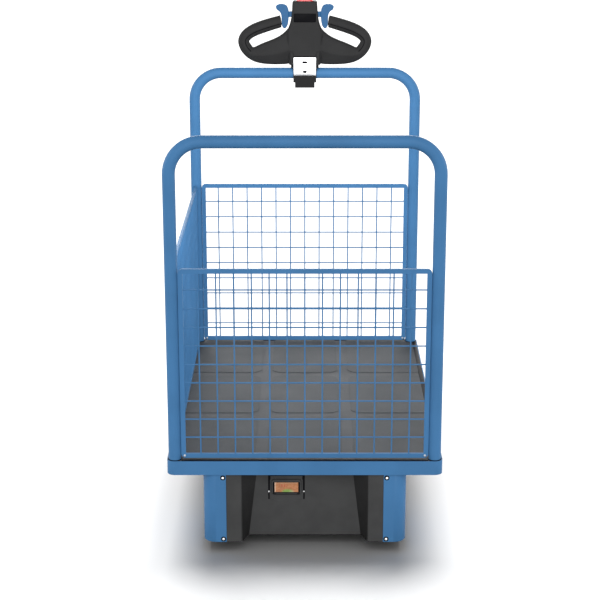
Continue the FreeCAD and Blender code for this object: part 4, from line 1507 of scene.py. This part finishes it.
def soft_sun(name, strength, spread, turn, rise, group):
    """A sun as wide as its spread, a turn round from the front and at a rise over the floor, all in degrees."""
    sun = bpy.data.lights.new(name, "SUN")
    sun.energy = math.pi * strength
    sun.angle = math.radians(spread)
    lamp = studio_object(name, sun)
    turn, rise = math.radians(turn), math.radians(rise)
    source = Vector((math.sin(turn) * math.cos(rise), -math.cos(turn) * math.cos(rise), math.sin(rise)))
    lamp.rotation_euler = source.to_track_quat("Z", "Y").to_euler()
    lamp.light_linking.receiver_collection = group


def studio_lights(settings):
    """Soft suns round the cart, one more for the floor alone, and a soft panel that faces the handle end."""
    cart = floor_group("All But Floor", "EXCLUDE")
    soft_sun("Front Sun", settings.front_light, spread=50, turn=0, rise=20, group=cart)
    soft_sun("Back Sun", settings.back_light, spread=40, turn=180, rise=12, group=cart)
    for name, turn in (("Right Sun", 105), ("Left Sun", -105)):
        soft_sun(name, settings.side_light, spread=30, turn=turn, rise=8, group=cart)
    floor = floor_group("Floor Alone", "INCLUDE")
    soft_sun("Floor Sun", settings.floor_light, spread=50, turn=180, rise=57, group=floor)
    panel = bpy.data.lights.new("Handle Panel Light", "AREA")
    panel.shape = "RECTANGLE"
    panel.size = 0.6
    panel.size_y = 0.7
    panel.energy = settings.panel_light
    lamp = studio_object("Handle Panel Light", panel)
    lamp.location = (0, -0.42, 1.1)
    lamp.rotation_euler = (math.radians(90), 0, 0)
    lamp.visible_camera = False
    lamp.light_linking.receiver_collection = cart


def studio_camera(settings):
    """The camera, in front of the drive cover end and looking down at the cart."""
    camera = bpy.data.cameras.new("Studio Camera")
    camera.lens = settings.camera_lens
    camera.sensor_width = 36
    camera.shift_x = -0.008
    camera.shift_y = -0.05
    camera.clip_end = 500
    made = studio_object("Studio Camera", camera)
    made.location = (0, -settings.camera_back, settings.camera_height)
    made.rotation_euler = (math.radians(90) - settings.camera_tilt, 0, 0)
    bpy.context.scene.camera = made
    bpy.context.scene.view_settings.view_transform = "Standard"


# Add-on


OPERATORS = (
    CART_OT_frame,
    CART_OT_deck,
    CART_OT_cover,
    CART_OT_indicator,
    CART_OT_drive_unit,
    CART_OT_drive_wheels,
    CART_OT_castors,
    CART_OT_underside,
    CART_OT_control_head,
    CART_OT_levers,
    CART_OT_head_trim,
    CART_OT_clamp,
    CART_OT_studio,
)

SETTINGS = (
    ("cart_colours", CartColours),
    ("cart_head", HeadSizes),
    ("cart_treads", TreadSizes),
    ("cart_studio", StudioSettings),
)


class CART_PT_panel(bpy.types.Panel):
    """The cart's pieces and settings"""

    bl_idname = "CART_PT_panel"
    bl_label = "Electric Platform Cart"
    bl_space_type = "VIEW_3D"
    bl_region_type = "UI"
    bl_category = "Cart"

    def draw(self, context):
        for name, _ in SETTINGS:
            group = getattr(context.scene, name)
            column = self.layout.box().column(align=True)
            for key in group.bl_rna.properties.keys():
                if key not in ("rna_type", "name"):
                    column.prop(group, key)
        column = self.layout.column(align=True)
        for operator in OPERATORS:
            column.operator(operator.bl_idname)


def register():
    """Adds the settings, the operators and the panel."""
    for name, group in SETTINGS:
        bpy.utils.register_class(group)
        setattr(bpy.types.Scene, name, bpy.props.PointerProperty(type=group))
    for made in (*OPERATORS, CART_PT_panel):
        bpy.utils.register_class(made)


def unregister():
    """Takes away what register adds."""
    for made in (CART_PT_panel, *reversed(OPERATORS)):
        bpy.utils.unregister_class(made)
    for name, group in reversed(SETTINGS):
        delattr(bpy.types.Scene, name)
        bpy.utils.unregister_class(group)


def main():
    """Makes the whole scene in order."""
    register()
    for operator in OPERATORS:
        family, name = operator.bl_idname.split(".")
        getattr(getattr(bpy.ops, family), name)()


if __name__ == "__main__":
    main()
